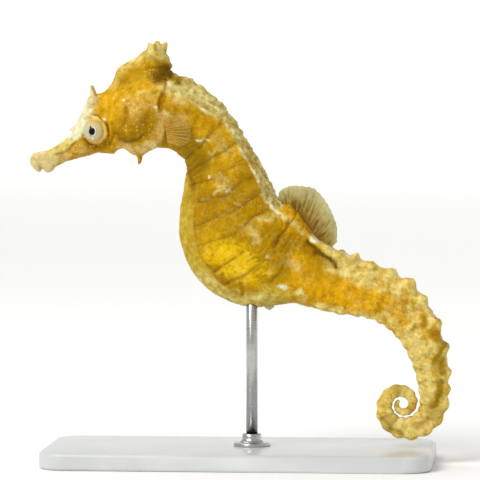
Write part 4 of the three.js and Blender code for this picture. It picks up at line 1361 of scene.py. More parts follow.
@dataclass
class Skin:
    """One skin over head, trunk and tail, made from the distances to the body and head forms.

    Attributes:
        fine: The grid's spacing at the head and along Y, and coarse elsewhere.
        split: Where it turns from fine to coarse, in X and Z.
        room: How far it reaches past the flesh nodes.
        head_zone: The head lies before this X and above this Z.
        far: The distance that stands for anywhere away from the animal.
        rod: The steel rod's X, the radius of its hole in the belly and the hole's top.
        folds: Bumps on the nape, and folds and a furrow round the hump.
    """

    eye: EyePlace
    body: BodyForm = BodyForm()
    head: HeadForm = HeadForm()
    pattern: Pattern = Pattern()
    fine: float = 0.2
    coarse: float = 0.26
    split: Pair = (-11, 50)
    room: float = 1.4
    head_zone: Pair = (-10.5, 49)
    far: float = 3.0
    nodes: tuple[str, ...] = (
        "head", "snout", "coronet", "neck", "trunk_upper", "trunk_middle", "trunk_lower", "tail_root",
        "tail_upper", "tail_middle", "tail_lower", "tail_curl_1", "tail_curl_2", "tail_curl_3", "tail_tip",
    )
    rod: Triple = (2.1, 1.03, 29.7)
    granules_per_mm2: float = 1.5
    granule_radii: Pair = (0.05, 0.12)
    granule_seed: int = 5
    folds: tuple[Fold, ...] = (
        Fold(0.55, 0.35, (-9.6, 67), (-8.6, 67.1)),
        Fold(0.5, 0.3, (-7, 65.9), (-6.6, 65.6)),
        Fold(0.25, -0.2, (8.9, 42.4), (7.6, 40.2), (6, 38.2)),
        Fold(0.25, -0.18, (10, 41.6), (8.7, 39.4), (7.2, 37.2)),
        Fold(0.3, -0.2, (11.2, 40.6), (10, 38.6), (9.4, 36.6)),
        Fold(0.3, -0.3, (11.8, 38.9), (13.2, 37.4), (14.8, 36.2), (16.4, 34.9)),
        Fold(0.4, 0.3, (12.4, 39.4), (13.8, 38), (15.4, 36.9)),
    )

    def grid(self) -> tuple[Array, Array, Array]:
        """Gives the grid's places along X, Y and Z round the flesh nodes, finest at the head."""
        lows, highs = zip(*(box_mm(node) for node in self.nodes))
        low, high = np.min(lows, axis=0) - self.room, np.max(highs, axis=0) + self.room
        xs = self.spaced((low[0], self.split[0], high[0]), (self.fine, self.coarse))
        zs = self.spaced((low[2], self.split[1], high[2]), (self.coarse, self.fine))
        half = np.arange(0, high[1], self.fine)
        return xs, np.concatenate((-half[:0:-1], half)), zs

    @staticmethod
    def spaced(ends: tuple[float, ...], steps: tuple[float, ...]) -> Array:
        """Gives places between each two ends at about a step of their own."""
        spans = zip(ends, ends[1:], steps)
        parts = [np.linspace(a, b, round((b - a) / step), endpoint=False) for a, b, step in spans]
        return np.concatenate(parts)

    def at_head(self, x: Array, z: Array) -> Array:
        """Tells which places are near the head."""
        return (x < self.head_zone[0]) & (z > self.head_zone[1])

    def distances(self, xs: Array, ys: Array, zs: Array) -> Array:
        """Gives the distance to the skin at each point of the grid, negative inside."""
        x, z = (a.ravel() for a in np.meshgrid(xs, zs, indexing="ij"))
        ring, out, past = self.body.midline.locate(x, z, self.body.half_depth)
        depth = self.body.half_depth.at(ring)
        on_body = (np.abs(out) < 1.25 * depth + 2) & (np.abs(past) < 4)
        on_head = self.at_head(x, z)
        near = on_body | on_head
        half = ys[ys >= -1e-9][None]
        x, z, ring, out, past = (a[near][:, None] for a in (x, z, ring, out, past))
        total = self.body.distance(ring, out, past, half)
        total = np.where(on_body[near][:, None], total, self.far)
        in_head = on_head[near]
        head = self.head.distance(x[in_head], half, z[in_head])
        fillet = mix(0.3, 1.8, ease(66.5, 68.5, z[in_head])) + 0 * head
        total[in_head] = soft_union(total[in_head], head, fillet)
        rod_x, rod_radius, rod_top = self.rod
        rod = np.maximum(np.hypot(x - rod_x, half) - rod_radius, z - rod_top)
        values = np.full((len(xs) * len(zs), half.shape[1]), self.far)
        values[near] = np.maximum(total, -rod)
        values = values.reshape(len(xs), len(zs), -1).transpose(0, 2, 1)
        return np.concatenate((values[:, :0:-1], values), axis=1)

    def lie(self, verts: Array) -> Lie:
        """Works out where each vertex lies on the animal."""
        x, z = drawn(*verts.T)
        ring, out, _ = self.body.midline.locate(x, z, self.body.half_depth)
        head = ease(0.3, -0.3, x - self.head.gill_edge.at(z)) * self.at_head(x, z)
        from_eye = np.hypot(verts[:, 0] - self.eye.x, verts[:, 2] - self.eye.z)
        points = np.stack([x, verts[:, 1], z], 1)
        return Lie(points, ring, out, self.body.half_depth.at(ring), head, from_eye)

    def relief(self, lie: Lie) -> Array:
        """Gives the fine relief: plates, tail wrinkles, folds, the eye's rim and soft lumps."""
        x, _, z = lie.points.T
        ring, body = lie.ring, 1 - lie.head
        total = self.pattern.plates.relief(lie)
        total += body * sum(each.at(x, z) for each in self.folds)
        total += lie.head * sum(each.at(x, z) for each in self.head.folds)
        bend = 0.5 * Lumps(1.6, 51, 2).at(lie.points)
        tail = ease(11, 13, ring) * ease(38, 22, ring) * body
        total += 0.04 * tail * np.sin(2 * np.pi * (ring * 2.3 + lie.out * 0.5 + bend))
        total -= 0.11 * self.pattern.furrows(lie)
        size = np.clip(lie.depth / 5, 0.12, 1)
        total += size * (0.1 * Lumps(2.3, 3).at(lie.points) + 0.07 * Lumps(0.9, 5, 2).at(lie.points))
        rough = ease(-0.3, 0.6, self.pattern.regions.stripe(lie)) * body
        total += 0.3 * rough * Lumps(0.7, 7, 2).at(lie.points)
        total *= ease(self.eye.radius, self.eye.radius + 0.8, lie.from_eye)
        rim = hill(lie.from_eye - self.eye.radius + 0.05, 0.24)
        return total + lie.head * self.head.eye_rim_height * rim

    def build(self, finish: SkinFinish, grain: SkinFinish) -> list[Piece]:
        """Makes the skin with its markings and painted shade stored on it, and the granules on it."""
        xs, ys, zs = self.grid()
        net = Net(xs, ys, zs, self.distances(xs, ys, zs))
        net.separate()
        verts, faces = net.mesh()
        lie = self.lie(verts)
        relief = self.relief(lie)
        piece = make_object("seahorse_skin", verts + vertex_normals(verts, faces) * relief[:, None], faces)
        # painted shade and light: each plate's tint and painted shadow, then painted shade in hollows and
        # painted light on raised relief
        shade = 1.02 + self.pattern.plates.shade(lie) + np.clip(0.4 * relief, -0.1, 0.06)
        clear = ease(self.eye.radius + 0.4, self.eye.radius + 1.4, lie.from_eye)
        granules = self.pattern.granules(lie) * clear
        strengths = {pigment.name.lower(): s for pigment, s in self.pattern.strengths(lie).items()}
        give_values(piece, **strengths, shade=shade, dots=self.pattern.dots(lie), granules=granules)
        piece.data.materials.append(finish.build())
        granules = link_object("skin_granules", piece.data.copy())
        smallest, largest = self.granule_radii
        settings = {"Density": self.granules_per_mm2 / MM**2, "Smallest": smallest * MM}
        settings |= {"Largest": largest * MM, "Seed": self.granule_seed, "Material": grain.build()}
        settle(granules, granule_tree("skin granules"), settings)
        for made in (piece, granules):
            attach(made, BODY)
        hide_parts(*self.nodes)
        return [piece, granules]


# ------------ eyes


@dataclass(frozen=True)
class EyeFinish(Finish):
    """A wet eyeball under a clear cornea: sharp gloss over a matt, finely ringed iris.

    Attributes:
        bands: The iris's colours by distance from the gaze, in millimetres.
        reach: The distance that the eyeball's stored radius counts as 1.
    """

    constants: ClassVar = {
        "Roughness": 0.4,
        "IOR": 1.376,
        "Specular IOR Level": 0.1,
        "Coat Weight": 0.3,
        "Coat Roughness": 0.04,
        "Coat IOR": 1.376,
    }
    bands: Bands = (
        (0.5, "#e2dcc0"), (0.66, "#cfc7a6"), (0.84, "#bdb188"), (0.95, "#a89d6e"),
        (1.08, "#c8be96"), (1.4, "#cabc90"), (1.7, "#caae6e"), (2, "#c49c40"),
    )
    reach: float = 2.0

    def paint(self, add: Add, place: Socket) -> dict[str, Value]:
        """Paints the iris, lids and pupil, and a painted highlight spot, from the distances stored on the
        eyeball.
        """
        radius, front, lid, glint, pupil = (
            add("Attribute", attribute_name=name).outputs["Fac"]
            for name in ("radius", "front", "lid", "glint", "pupil")
        )
        cloud = add("TexNoise", {"Vector": place, "Scale": per_mm(0.45), "Detail": 3.0})
        wander = weighted(add, radius, (cloud, 0.08))
        colour = fill_ramp(add("ValToRGB", {0: wander}), self.bands, self.reach)
        # a grey front, the lids' colour, and the iris's pale ring with a painted highlight spot
        for amount, shade in ((front, "#bfba98"), (lid, "#cfa956"), (glint, "#efe9d0")):
            layers = {0: amount, 6: colour, 7: srgb(shade)}
            colour = add("Mix", layers, data_type="RGBA").outputs[2]
        lines = add("Math", {0: wander, 1: 80.0}, operation="MULTIPLY")
        wave = add("Math", {0: lines}, operation="SINE")
        bright = weighted(add, 0.98, (wave, 0.03))
        ringed = add("VectorMath", {0: colour, "Scale": bright}, operation="SCALE")
        edge = add("MapRange", {0: pupil, 1: 0.05, 2: -0.04})
        layers = {0: edge, 6: ringed, 7: srgb("#05080f")}
        return {"Base Color": add("Mix", layers, data_type="RGBA").outputs[2]}


@dataclass
class Eyeball:
    """An eyeball with a low cornea, a pear-shaped pupil and values for its iris and a painted highlight.
    """

    place: EyePlace
    node: str
    side: int
    gaze: Triple = (-0.13, 1, -0.02)
    cornea_rise: float = 0.1
    cornea_reach: float = 1.1
    pupil_half: Pair = (0.56, 0.66)
    pupil_point: Pair = (0.32, 0.92)
    # where the painted highlight spot lies on the iris
    highlight_spot: Path = Path((-0.05, -1.05), (0.1, -1.5))
    segments: int = 80
    rings: int = 56

    def pupil(self, front: Array, up: Array) -> Array:
        """Gives the distance to the pupil's edge, negative inside: a round with a point up in front."""
        round_part = np.hypot(front / self.pupil_half[0], up / self.pupil_half[1]) - 1
        px, pz = self.pupil_point
        t = np.clip((front * px + up * pz) / (px**2 + pz**2), 0, 1)
        point = np.hypot(front - t * px, up - t * pz) - mix(0.42, 0.08, t)
        return np.minimum(round_part * self.pupil_half[0], point)

    def build(self, finish: EyeFinish) -> Piece:
        """Makes the eyeball as a ball of rings round its gaze."""
        gaze = Vector((self.gaze[0], self.side * self.gaze[1], self.gaze[2])).normalized()
        up = (Vector((0, 0, 1)) - gaze * gaze.z).normalized()
        ahead = up.cross(gaze) * self.side
        centre = np.array((self.place.x, self.side * self.place.y, self.place.z))
        angle = np.linspace(0, math.pi, self.rings + 1)[1:-1]
        turn = np.arange(self.segments) * 2 * math.pi / self.segments
        angle, turn = (a.ravel() for a in np.meshgrid(angle, turn, indexing="ij"))
        angle, turn = np.append(angle, (0, math.pi)), np.append(turn, (0, 0))
        away = self.place.radius * np.sin(angle)
        cornea = self.cornea_rise * hill(away, self.cornea_reach) * (angle < math.pi / 2)
        outwards = np.cos(angle) * (self.place.radius + cornea)
        front, high = away * np.cos(turn), away * np.sin(turn)
        verts = centre + np.outer(front, ahead) + np.outer(high, up) + np.outer(outwards, gaze)
        rows, n = self.rings - 1, self.segments
        faces = ring_faces(rows, n) + [(rows * n, (j + 1) % n, j) for j in range(n)]
        faces += [(rows * n + 1, (rows - 1) * n + j, (rows - 1) * n + (j + 1) % n) for j in range(n)]
        piece = make_object(self.node.replace("eye", "eyeball"), verts, faces)
        face_outwards(piece)
        pupil = np.where(angle < math.pi / 2, self.pupil(front, high), 1)
        crescent = hill(pupil - 0.12, 0.07) * ease(0.1, -0.3, front)
        lid = ease(1.25, 1.75, np.abs(high + 0.1)) * ease(1.6, 0.8, front)
        # the iris's pale ring by the pupil, and a painted highlight spot below it
        glint = np.maximum(crescent, 0.8 * hill(self.highlight_spot.distance(front, high), 0.13))
        grey = 0.9 * ease(0.2, 1.2, front)
        give_values(piece, radius=away / finish.reach, front=grey, lid=lid, glint=glint, pupil=pupil)
        piece.data.materials.append(finish.build())
        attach(piece, BODY)
        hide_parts(self.node)
        return piece


# ------------ fins


@dataclass(frozen=True)
class FinFinish(Finish):
    """Thin fin skin: dark and streaked at its foot, pale and silky at the rim.

    Attributes:
        bands: Colours from the foot to the rim, by height as a share of the fin.
        streak: Colour of the streaks between the rays.
        contrast: How strong the streaks are.
        cover: How much each side of the sheet hides what is behind, at its foot and rim.
    """

    constants: ClassVar = {
        "Roughness": 0.45,
        "IOR": 1.4,
        "Specular IOR Level": 0.25,
        "Subsurface Weight": 0.08,
        "Subsurface Scale": 0.6 * MM,
        "Subsurface Radius": (1, 0.9, 0.5),
    }
    bands: Bands
    streak: str
    contrast: float = 1.0
    cover: Pair = (1, 1)

    def paint(self, add: Add, place: Socket) -> dict[str, Value]:
        """Paints the bands and streaks by how far along and up the fin each vertex lies."""
        height = add("Attribute", attribute_name="height").outputs["Fac"]
        ray = add("Attribute", attribute_name="ray").outputs["Fac"]
        cloud = add("TexNoise", {"Vector": place, "Scale": per_mm(0.7), "Detail": 3.0})
        centred = add("Math", {0: cloud, 1: 0.5}, operation="SUBTRACT")
        rise = weighted(add, height, (centred, 0.5))
        colour = fill_ramp(add("ValToRGB", {0: rise}), self.bands)
        across = add("CombineXYZ", {0: ray, 1: height})
        thin = add("VectorMath", {0: across, 1: (2.4, 3.2, 1)}, operation="MULTIPLY")
        streak = add("TexNoise", {"Vector": thin, "Scale": 1.0, "Detail": 4.0})
        amount = add("MapRange", {0: streak, 1: 0.44, 2: 0.66, 3: 0.0, 4: self.contrast})
        fade = add("MapRange", {0: rise, 1: 0.45, 2: 1.0, 3: 1.0, 4: 0.1})
        amount = add("Math", {0: amount, 1: fade}, operation="MULTIPLY")
        layers = {0: amount, 6: colour, 7: srgb(self.streak)}
        bump = add("Bump", {"Height": streak, "Strength": 0.6, "Distance": 0.08 * MM})
        painted = {"Base Color": add("Mix", layers, data_type="RGBA").outputs[2], "Normal": bump}
        if self.cover != (1, 1):
            painted["Alpha"] = add("MapRange", {0: height, 3: self.cover[0], 4: self.cover[1]})
        return painted


@dataclass(frozen=True)
class RayFinish(Finish):
    """Bony fin rays: translucent amber at the foot, paler to the tip."""

    constants: ClassVar = {"Roughness": 0.45, "IOR": 1.45}
    shades: tuple[str, str] = ("#8d7434", "#b9ab74")

    def paint(self, add: Add, place: Socket) -> dict[str, Value]:
        """Paints soft clouds between the two shades."""
        cloud = add("TexNoise", {"Vector": place, "Scale": per_mm(1.2), "Detail": 3.0})
        share = add("MapRange", {0: cloud, 1: 0.35, 2: 0.65})
        layers = {0: share, 6: srgb(self.shades[0]), 7: srgb(self.shades[1])}
        return {"Base Color": add("Mix", layers, data_type="RGBA").outputs[2]}


@dataclass
class Fin:
    """A thin waved sheet between a foot line and a rim, with rays that run from foot to rim.

    Attributes:
        name: The piece's name.
        node: The node it replaces.
        foot: Points of the foot line in X and Z, from the first ray to the last.
        rim: Points of the rim, likewise.
        rays: How many rays it has.
        thickness: Thickness of the sheet between rays at its foot.
        wave: How far the rim waves to either side.
        waves: How many waves run along the rim.
    """

    name: str
    node: str
    foot: Points
    rim: Points
    rays: int
    thickness: float = 0.22
    wave: float = 0.3
    waves: float = 2.5
    columns_per_ray: int = 6
    rows: int = 22
    steps_per_ray: int = 14

    @staticmethod
    def spread(points: Points, share: Array) -> Array:
        """Gives points along a smooth line at shares of its length."""
        pts = np.array(points)
        steps = np.concatenate(([0], np.cumsum(np.hypot(*np.diff(pts, axis=0).T))))
        return np.stack([Keys(*zip(steps / steps[-1], pts[:, i])).at(share) for i in (0, 1)], 1)

    def surface(self, along: Array, height: Array) -> Array:
        """Gives points of the fin's middle sheet, before it is placed."""
        foot, rim = self.spread(self.foot, along), self.spread(self.rim, along)
        flat = foot + (rim - foot) * height[:, None]
        side = self.wave * np.sin(2 * np.pi * self.waves * along) * height**1.5
        return np.stack([flat[:, 0], side, flat[:, 1]], 1)

    def place(self, points: Array) -> Array:
        """Moves points of the fin's own drawing to where it grows."""
        return points

    def sheet(self) -> tuple[Array, Array, Array, Array]:
        """Makes the closed sheet: vertices, faces, and each vertex's ray count and height."""
        columns = (self.rays - 1) * self.columns_per_ray + 1
        along, height = np.meshgrid(np.linspace(0, 1, columns), np.linspace(0, 1, self.rows))
        along, height = along.ravel(), height.ravel()
        ray = along * (self.rays - 1)
        rib = (1 + np.cos(2 * np.pi * ray)) / 2
        half = self.thickness / 2 * (0.45 + 0.9 * rib**2) * (1 - 0.72 * height)
        half *= ease(0, 0.02, along) * ease(1, 0.98, along) * 0.7 + 0.3
        reach = height * (1 + 0.018 * (rib - 0.5) * ease(0.8, 1, height))
        middle = self.surface(along, reach)
        layers = [middle + np.array((0, 1, 0)) * half[:, None] * way for way in (-1, 1)]
        count = len(along)
        grid = np.arange(count).reshape(self.rows, columns)
        side = np.stack([grid[:-1, :-1], grid[:-1, 1:], grid[1:, 1:], grid[1:, :-1]], 2).reshape(-1, 4)
        sides = np.stack([side, side[:, ::-1] + count], 1).reshape(-1, 4)
        border = np.concatenate([grid[0], grid[1:, -1], grid[-1, -2::-1], grid[-2:0:-1, 0]])
        ahead = np.roll(border, -1)
        edge = np.stack([ahead, border, border + count, ahead + count], 1)
        return np.vstack(layers), np.vstack([sides, edge]), np.tile(ray, 2), np.tile(height, 2)

    def build(self, finish: FinFinish, ray_finish: RayFinish) -> list[Piece]:
        """Makes the fin's sheet and its rays."""
        verts, faces, ray, height = self.sheet()
        sheet = make_object(self.name + "_sheet", self.place(verts), faces)
        face_outwards(sheet)
        give_values(sheet, ray=ray, height=height)
        sheet.data.materials.append(finish.build())
        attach(sheet, BODY)
        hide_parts(self.node)
        rays = self.build_rays(ray_finish.build())
        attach(rays, BODY)
        return [sheet, rays]

    def build_rays(self, material: bpy.types.Material) -> Piece:
        """Makes the bony rays: one line for each, turned into a tapered rod by geometry nodes."""
        steps = self.steps_per_ray
        share = (np.arange(self.rays) + 0.02) / (self.rays - 0.96)
        along, height = np.repeat(share, steps), np.tile(np.linspace(0, 0.985, steps), self.rays)
        verts = self.place(self.surface(along, height))
        data = bpy.data.meshes.new(self.name + "_rays")
        edges = [(i * steps + j, i * steps + j + 1) for i in range(self.rays) for j in range(steps - 1)]
        data.from_pydata((verts * MM).tolist(), edges, [])
        settings = {"Root radius": 0.62 * self.thickness * MM, "Tip radius": 0.16 * self.thickness * MM}
        settings |= {"Sides": 6, "Material": material}
        return settle(link_object(self.name + "_rays", data), rod_tree(self.name + " rays"), settings)


@dataclass
class PectoralFin(Fin):
    """A pectoral fin, drawn flat from its root and folded back against the neck."""

    side: int = -1
    at: Triple = (-12, 4, 58.3)
    splay_deg: float = 5.0
    tilt_deg: float = -8.0

    def place(self, points: Array) -> Array:
        """Tilts the fin, folds it back beside the neck and moves it to its root."""
        tilt, splay = math.radians(self.tilt_deg), math.radians(self.splay_deg * self.side)
        x, y, z = points.T
        x, z = x * math.cos(tilt) + z * math.sin(tilt), z * math.cos(tilt) - x * math.sin(tilt)
        x, y = x * math.cos(splay) - y * math.sin(splay), x * math.sin(splay) + y * math.cos(splay)
        return np.stack([x + self.at[0], y + self.side * self.at[1], z + self.at[2]], 1)


def build_fins() -> list[Piece]:
    """Makes the dorsal fin, the two pectoral fins and the anal fin."""
    rays = RayFinish("bony fin rays")
    golden_rays = RayFinish("golden fin rays", ("#bc8e1e", "#d2a846"))
    dorsal_skin = FinFinish(
        "dorsal fin skin",
        ((0.14, "#6e4c06"), (0.3, "#8a6610"), (0.52, "#9c843a"), (0.76, "#a89b62"), (1.0, "#b5ad7c")),
        "#5e4004",
    )
    pectoral_skin = FinFinish(
        "pectoral fin skin",
        ((0.05, "#c08e10"), (0.4, "#d0a42c"), (0.7, "#dcb850"), (1.0, "#e6ca74")),
        "#b48612",
        0.7,
        (0.24, 0.07),
    )
    anal_skin = FinFinish(
        "anal fin skin", ((0.1, "#a58a3c"), (0.5, "#b9a565"), (0.95, "#c8ba88")), "#98803a", 0.5
    )
    pieces = Fin(
        "dorsal_fin",
        "dorsal_fin",
        ((7, 44.6), (8.4, 43.6), (9.6, 42.2), (10.6, 40.6), (11.4, 39), (13, 37.6), (15, 37)),
        (
            (6.6, 46.2), (6.9, 47.6), (9.4, 48.7), (12.4, 48.4), (14.6, 46.5), (16.2, 43.8),
            (17, 40.9), (17, 38.9),
        ),
        17,
    ).build(dorsal_skin, rays)
    for side, node in ((-1, "pectoral_fin_left"), (1, "pectoral_fin_right")):
        pieces += PectoralFin(
            node.replace("_fin", ""),
            node,
            ((-0.6, -1.9), (-0.6, 2.1)),
            ((0.4, -2.3), (1.6, -2.9), (3, -2.5), (3.7, -0.8), (3.5, 1.2), (2.3, 2.7), (0.4, 2.5)),
            16,
            thickness=0.16,
            wave=0.12,
            side=side,
        ).build(pectoral_skin, golden_rays)
    foot, rim = ((4, 29.6), (5.8, 29.4)), ((4, 27.9), (4.5, 27.2), (5.2, 26.9), (6, 27.4))
    return pieces + Fin("anal_fin", "anal_fin", foot, rim, 4, wave=0.05).build(anal_skin, rays)


# ------------ geometry node trees


def node_group(name: str, sockets: dict[str, str]) -> tuple[Tree, Node]:
    """Starts a geometry node tree with a mesh input, named inputs and a mesh output.

    Args:
        name: The tree's name.
        sockets: Socket types by input name, without what they all start with.

    Returns:
        The tree and its input node.
    """
    tree = bpy.data.node_groups.new(name, "GeometryNodeTree")
    for label, kind in ({"Geometry": "Geometry"} | sockets).items():
        tree.interface.new_socket(label, in_out="INPUT", socket_type="NodeSocket" + kind)
    tree.interface.new_socket("Geometry", in_out="OUTPUT", socket_type="NodeSocketGeometry")
    return tree, tree.nodes.new("NodeGroupInput")


def end_group(add: Add, made: Socket, material: Socket) -> None:
    """Ends a geometry node tree: instances made real, then the material set."""
    real = add("GeometryNodeRealizeInstances", {0: made})
    dressed = add("GeometryNodeSetMaterial", {"Geometry": real, "Material": material})
    add("NodeGroupOutput", {0: dressed})


def rod_tree(name: str) -> Tree:
    """Makes a tree that turns lines into rods that taper from root to tip."""
    sizes = {"Root radius": "Float", "Tip radius": "Float", "Sides": "Int", "Material": "Material"}
    tree, group = node_group(name, sizes)
    add, given = partial(add_node, tree, ""), group.outputs
    curve = add("GeometryNodeMeshToCurve", {"Mesh": given["Geometry"]})
    share = add("GeometryNodeSplineParameter").outputs["Factor"]
    radius = add("ShaderNodeMix", {0: share, 2: given["Root radius"], 3: given["Tip radius"]})
    curve = add("GeometryNodeSetCurveRadius", {"Curve": curve, "Radius": radius})
    section = add("GeometryNodeCurvePrimitiveCircle", {"Resolution": given["Sides"], "Radius": 1.0})
    rod = add("GeometryNodeCurveToMesh", {"Curve": curve, "Profile Curve": section, "Fill Caps": True})
    if "Scale" in rod.inputs:
        tree.links.new(radius.outputs[0], rod.inputs["Scale"])
    end_group(add, rod, given["Material"])
    return tree


def granule_tree(name: str) -> Tree:
    """Makes a tree that strews small grains over a surface, as thickly as it says itself."""
    sizes = {"Density": "Float", "Smallest": "Float", "Largest": "Float"}
    tree, group = node_group(name, sizes | {"Seed": "Int", "Material": "Material"})
    add, given = partial(add_node, tree, ""), group.outputs
    thick = add("GeometryNodeInputNamedAttribute", {"Name": "granules"}, data_type="FLOAT")
    factors = {0: thick.outputs["Attribute"], 1: given["Density"]}
    density = add("ShaderNodeMath", factors, operation="MULTIPLY")
    inputs = {"Mesh": given["Geometry"], "Density": density, "Seed": given["Seed"]}
    spots = add("GeometryNodeDistributePointsOnFaces", inputs).outputs["Points"]
    grain = add("GeometryNodeMeshIcoSphere", {"Radius": 1.0, "Subdivisions": 1}).outputs["Mesh"]
    inputs = {2: given["Smallest"], 3: given["Largest"], 8: given["Seed"]}
    size = add("FunctionNodeRandomValue", inputs, data_type="FLOAT").outputs[1]
    made = add("GeometryNodeInstanceOnPoints", {"Points": spots, "Instance": grain, "Scale": size})
    end_group(add, made, given["Material"])
    return tree


def settle(piece: Piece, tree: Tree, settings: dict) -> Piece:
    """Runs a geometry node tree on a piece once and keeps the result as its plain mesh."""
    modifier = piece.modifiers.new(tree.name, "NODES")
    modifier.node_group = tree
    names = {item.name: item.identifier for item in tree.interface.items_tree if item.in_out == "INPUT"}
    for label, value in settings.items():
        modifier[names[label]] = value
    graph = bpy.context.evaluated_depsgraph_get()
    made = bpy.data.meshes.new_from_object(piece.evaluated_get(graph))
    piece.modifiers.remove(modifier)
    piece.data = made
    made.polygons.foreach_set("use_smooth", [True] * len(made.polygons))
    return piece


# ------------ stand


@dataclass(frozen=True)
class AcrylicFinish(Finish):
    """Cast acrylic with a satin top: pale, cloudy and softly shiny."""

    constants: ClassVar = {"IOR": 1.49, "Coat Weight": 0.3, "Coat Roughness": 0.15}

    def paint(self, add: Add, place: Socket) -> dict[str, Value]:
        """Paints soft clouds, and a fine satin grain in gloss and relief."""
        cloud = add("TexNoise", {"Vector": place, "Scale": per_mm(9.0), "Detail": 4.0})
        shades = {0: cloud, 6: srgb("#b9bcbb"), 7: srgb("#cfd1cf")}
        fine = add("TexNoise", {"Vector": place, "Scale": per_mm(0.4), "Detail": 3.0})
        bump = add("Bump", {"Height": fine, "Strength": 0.1, "Distance": 0.03 * MM})
        return {
            "Base Color": add("Mix", shades, data_type="RGBA").outputs[2],
            "Roughness": weighted(add, 0.28, (fine, 0.2)),
            "Normal": bump,
        }


@dataclass(frozen=True)
class SteelFinish(Finish):
    """Turned stainless steel: bright, with fine rings left by the lathe."""

    constants: ClassVar = {"Metallic": 1.0}

    def paint(self, add: Add, place: Socket) -> dict[str, Value]:
        """Paints the lathe's rings: clouds squeezed lengthwise, in colour, gloss and relief."""
        squeezed = add("VectorMath", {0: place, 1: (1, 1, 14)}, operation="MULTIPLY")
        rings = add("TexNoise", {"Vector": squeezed, "Scale": per_mm(2.4), "Detail": 3.0})
        shades = {0: rings, 6: srgb("#a9abab"), 7: srgb("#c9cbca")}
        bump = add("Bump", {"Height": rings, "Strength": 0.15, "Distance": 0.02 * MM})
        return {
            "Base Color": add("Mix", shades, data_type="RGBA").outputs[2],
            "Roughness": weighted(add, 0.16, (rings, 0.2)),
            "Normal": bump,
        }


@dataclass
class Stand:
    """A rounded plate, a steel rod into the belly and a turned collar at the rod's foot."""

    bevel: float = 0.6
    corner: float = 5.0
    segments: int = 96
    neck: float = 1.7
    play: float = 0.1
    core: float = 0.001
    chamfer: float = 0.2

    def lathe(self, name: str, x: float, profile: list[Pair]) -> Piece:
        """Turns a closed profile of (radius, height) points about an upright axis."""
        turn = np.arange(self.segments) * 2 * math.pi / self.segments
        verts = [(x + r * math.cos(a), r * math.sin(a), z) for r, z in profile for a in turn]
        piece = make_object(name, verts, ring_faces(len(profile), self.segments, closed=True))
        face_outwards(piece)
        return piece

    def plate(self) -> Piece:
        """Makes the base: a rounded rectangle with rolled edges."""
        low, high = box_mm("stand_base")
        half_x, half_y = (high[0] - low[0]) / 2, (high[1] - low[1]) / 2
        steps, roll = 14, 6
        turn = [math.pi / 2 * (q + i / steps) for q in range(4) for i in range(steps + 1)]
        bend = [math.pi / 2 * i / roll for i in range(roll + 1)]
        levels = [(self.bevel * (1 - math.sin(a)), self.bevel * (1 - math.cos(a))) for a in bend]
        rows = [(inset, low[2] + rise) for inset, rise in levels]
        rows += [(inset, high[2] - rise) for inset, rise in reversed(levels)]
        verts = []
        for inset, z in rows:
            radius = self.corner - inset
            for a in turn:
                quarter = min(int((a + 1e-9) // (math.pi / 2)), 3)
                cx = (half_x - self.corner) * (1, -1, -1, 1)[quarter]
                cy = (half_y - self.corner) * (1, 1, -1, -1)[quarter]
                verts.append((cx + radius * math.cos(a), cy + radius * math.sin(a), z))
        n = len(turn)
        faces = ring_faces(len(rows), n)
        faces += [tuple(reversed(range(n))), tuple(range((len(rows) - 1) * n, len(rows) * n))]
        return make_object("base_plate", verts, faces)

    def build(self) -> list[Piece]:
        """Makes the plate, the rod and the collar."""
        plate = self.plate()
        low, high = box_mm("stand_rod")
        x, radius = (low[0] + high[0]) / 2, (high[0] - low[0]) / 2
        profile = [(self.core, low[2]), (radius, low[2]), (radius, high[2] - self.chamfer)]
        profile += [(radius - self.chamfer, high[2]), (self.core, high[2])]
        rod = self.lathe("support_rod", x, profile)
        low, high = box_mm("stand_foot")
        out, hole, z, top = (high[0] - low[0]) / 2, radius + self.play, low[2], high[2]
        roll = [math.pi / 2 * i / 5 for i in range(6)]
        profile = [(hole, z), (out - 0.05, z), (out, z + 0.05)]
        profile += [(out - 0.25 * (1 - math.cos(a)), z + 0.4 + 0.25 * math.sin(a)) for a in roll]
        profile += [(self.neck + 0.9 * (1 - math.sin(a)), z + 1.55 - 0.9 * math.cos(a)) for a in roll]
        profile += [(self.neck, top - 0.2), (self.neck - 0.15, top), (hole, top)]
        collar = self.lathe("rod_collar", x, profile)
        acrylic = AcrylicFinish("satin cast acrylic").build()
        steel = SteelFinish("turned stainless steel").build()
        made = ((plate, "stand_base", acrylic), (rod, "stand_rod", steel), (collar, "stand_foot", steel))
        for piece, node, material in made:
            piece.data.materials.append(material)
            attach(piece, BODY)
            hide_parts(node)
        return [plate, rod, collar]


# ------------ studio


@dataclass(frozen=True)
class PaperFinish(Finish):
    """Matt white paper, evenly coloured."""

    constants: ClassVar = {
        "Base Color": srgb("#f7f7f5"),
        "Roughness": 0.9,
        "Specular IOR Level": 0.1,
    }


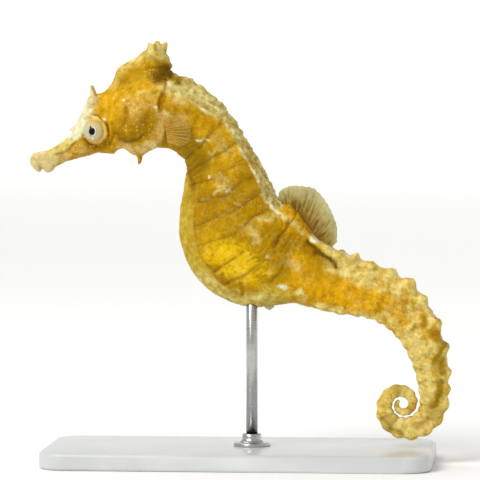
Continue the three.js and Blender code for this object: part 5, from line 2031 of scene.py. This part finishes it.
@dataclass
class Studio:
    """A pale curved backdrop, soft lights and the camera."""

    aim: Triple = (0, 0, 39.15)
    distance: float = 700.0
    azimuth_deg: float = 5.0
    elevation_deg: float = 3.0
    frame_width: float = 84.0
    sensor: float = 36.0
    floor_radius: float = 1300.0
    bend: float = 400.0
    wall: float = 700.0
    sides: int = 96
    world_strength: float = 0.56

    def point_along(self, name: str, data: bpy.types.ID, location: Vector, way: Vector) -> Piece:
        """Puts a camera or light at a place, looking along a direction."""
        made = link_object(name, data)
        made.location = location
        made.rotation_euler = way.to_track_quat("-Z", "Y").to_euler()
        return made

    def camera(self) -> None:
        """Places the camera level with the animal, a little behind its left side."""
        azimuth, elevation = math.radians(self.azimuth_deg), math.radians(self.elevation_deg)
        way = Vector((math.sin(azimuth), -math.cos(azimuth), math.tan(elevation))).normalized()
        data = bpy.data.cameras.new("camera")
        data.sensor_width = self.sensor
        data.lens = self.sensor * self.distance / self.frame_width
        data.clip_start, data.clip_end = 0.01, 20
        location = (Vector(self.aim) + way * self.distance) * MM
        bpy.context.scene.camera = self.point_along("camera", data, location, -way)

    def backdrop(self) -> None:
        """Makes the pale round floor, which curves up into a low wall on every side."""
        bend, reach, steps = self.bend, self.floor_radius, 16
        turn = [math.pi / 2 * i / steps for i in range(steps + 1)]
        profile = [(reach + bend * math.sin(a), bend - bend * math.cos(a)) for a in turn]
        profile = [(reach + bend, self.wall)] + profile[::-1] + [(1, 0)]
        around = [2 * math.pi * i / self.sides for i in range(self.sides)]
        verts = [(r * math.cos(a), r * math.sin(a), z) for r, z in profile for a in around]
        piece = make_object("floor", verts, ring_faces(len(profile), self.sides))
        piece.data.materials.append(PaperFinish("white paper").build())

    def sun(self, way: Triple, spread_deg: float, strength: float) -> None:
        """Adds a wide soft light that shines evenly along a direction."""
        data = bpy.data.lights.new("key", "SUN")
        data.angle, data.energy = math.radians(spread_deg), strength
        self.point_along("key", data, Vector(), Vector(way))

    def panel(self, name: str, place: Triple, size: float, watts: float) -> None:
        """Adds a soft square light that faces the animal."""
        data = bpy.data.lights.new(name, "AREA")
        data.size, data.energy = size * MM, watts
        location = Vector(place) * MM
        self.point_along(name, data, location, Vector(self.aim) * MM - location)

    def build(self) -> None:
        """Makes the camera, backdrop and lights."""
        self.camera()
        self.backdrop()
        self.sun((0.55, 0.75, -0.8), 30, 1.8)
        self.panel("front_panel", (-300, -520, 260), 260, 0.35)
        self.panel("top_panel", (-120, 160, 420), 260, 0.35)
        world = bpy.data.worlds.new("studio")
        bpy.context.scene.world = world
        world.use_nodes = True
        sky = world.node_tree.nodes["Background"].inputs
        sky["Color"].default_value, sky["Strength"].default_value = (1, 1, 1, 1), self.world_strength
        bpy.context.scene.view_settings.view_transform = "Standard"


def main() -> None:
    """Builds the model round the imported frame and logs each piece."""
    logging.basicConfig(level=logging.INFO, format="%(name)s: %(message)s")
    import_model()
    Studio().build()
    eye = EyePlace.from_node("eye_left")
    pieces = Skin(eye).build(SkinFinish("moist skin over bone"), SkinFinish("bony skin grains", 0.3))
    for side, node in ((-1, "eye_left"), (1, "eye_right")):
        pieces.append(Eyeball(eye, node, side).build(EyeFinish("eye under a clear cornea")))
    pieces += build_fins() + Stand().build()
    for piece in pieces:
        LOG.info("%s: %d faces", piece.name, len(piece.data.polygons))


if __name__ == "__main__":
    main()
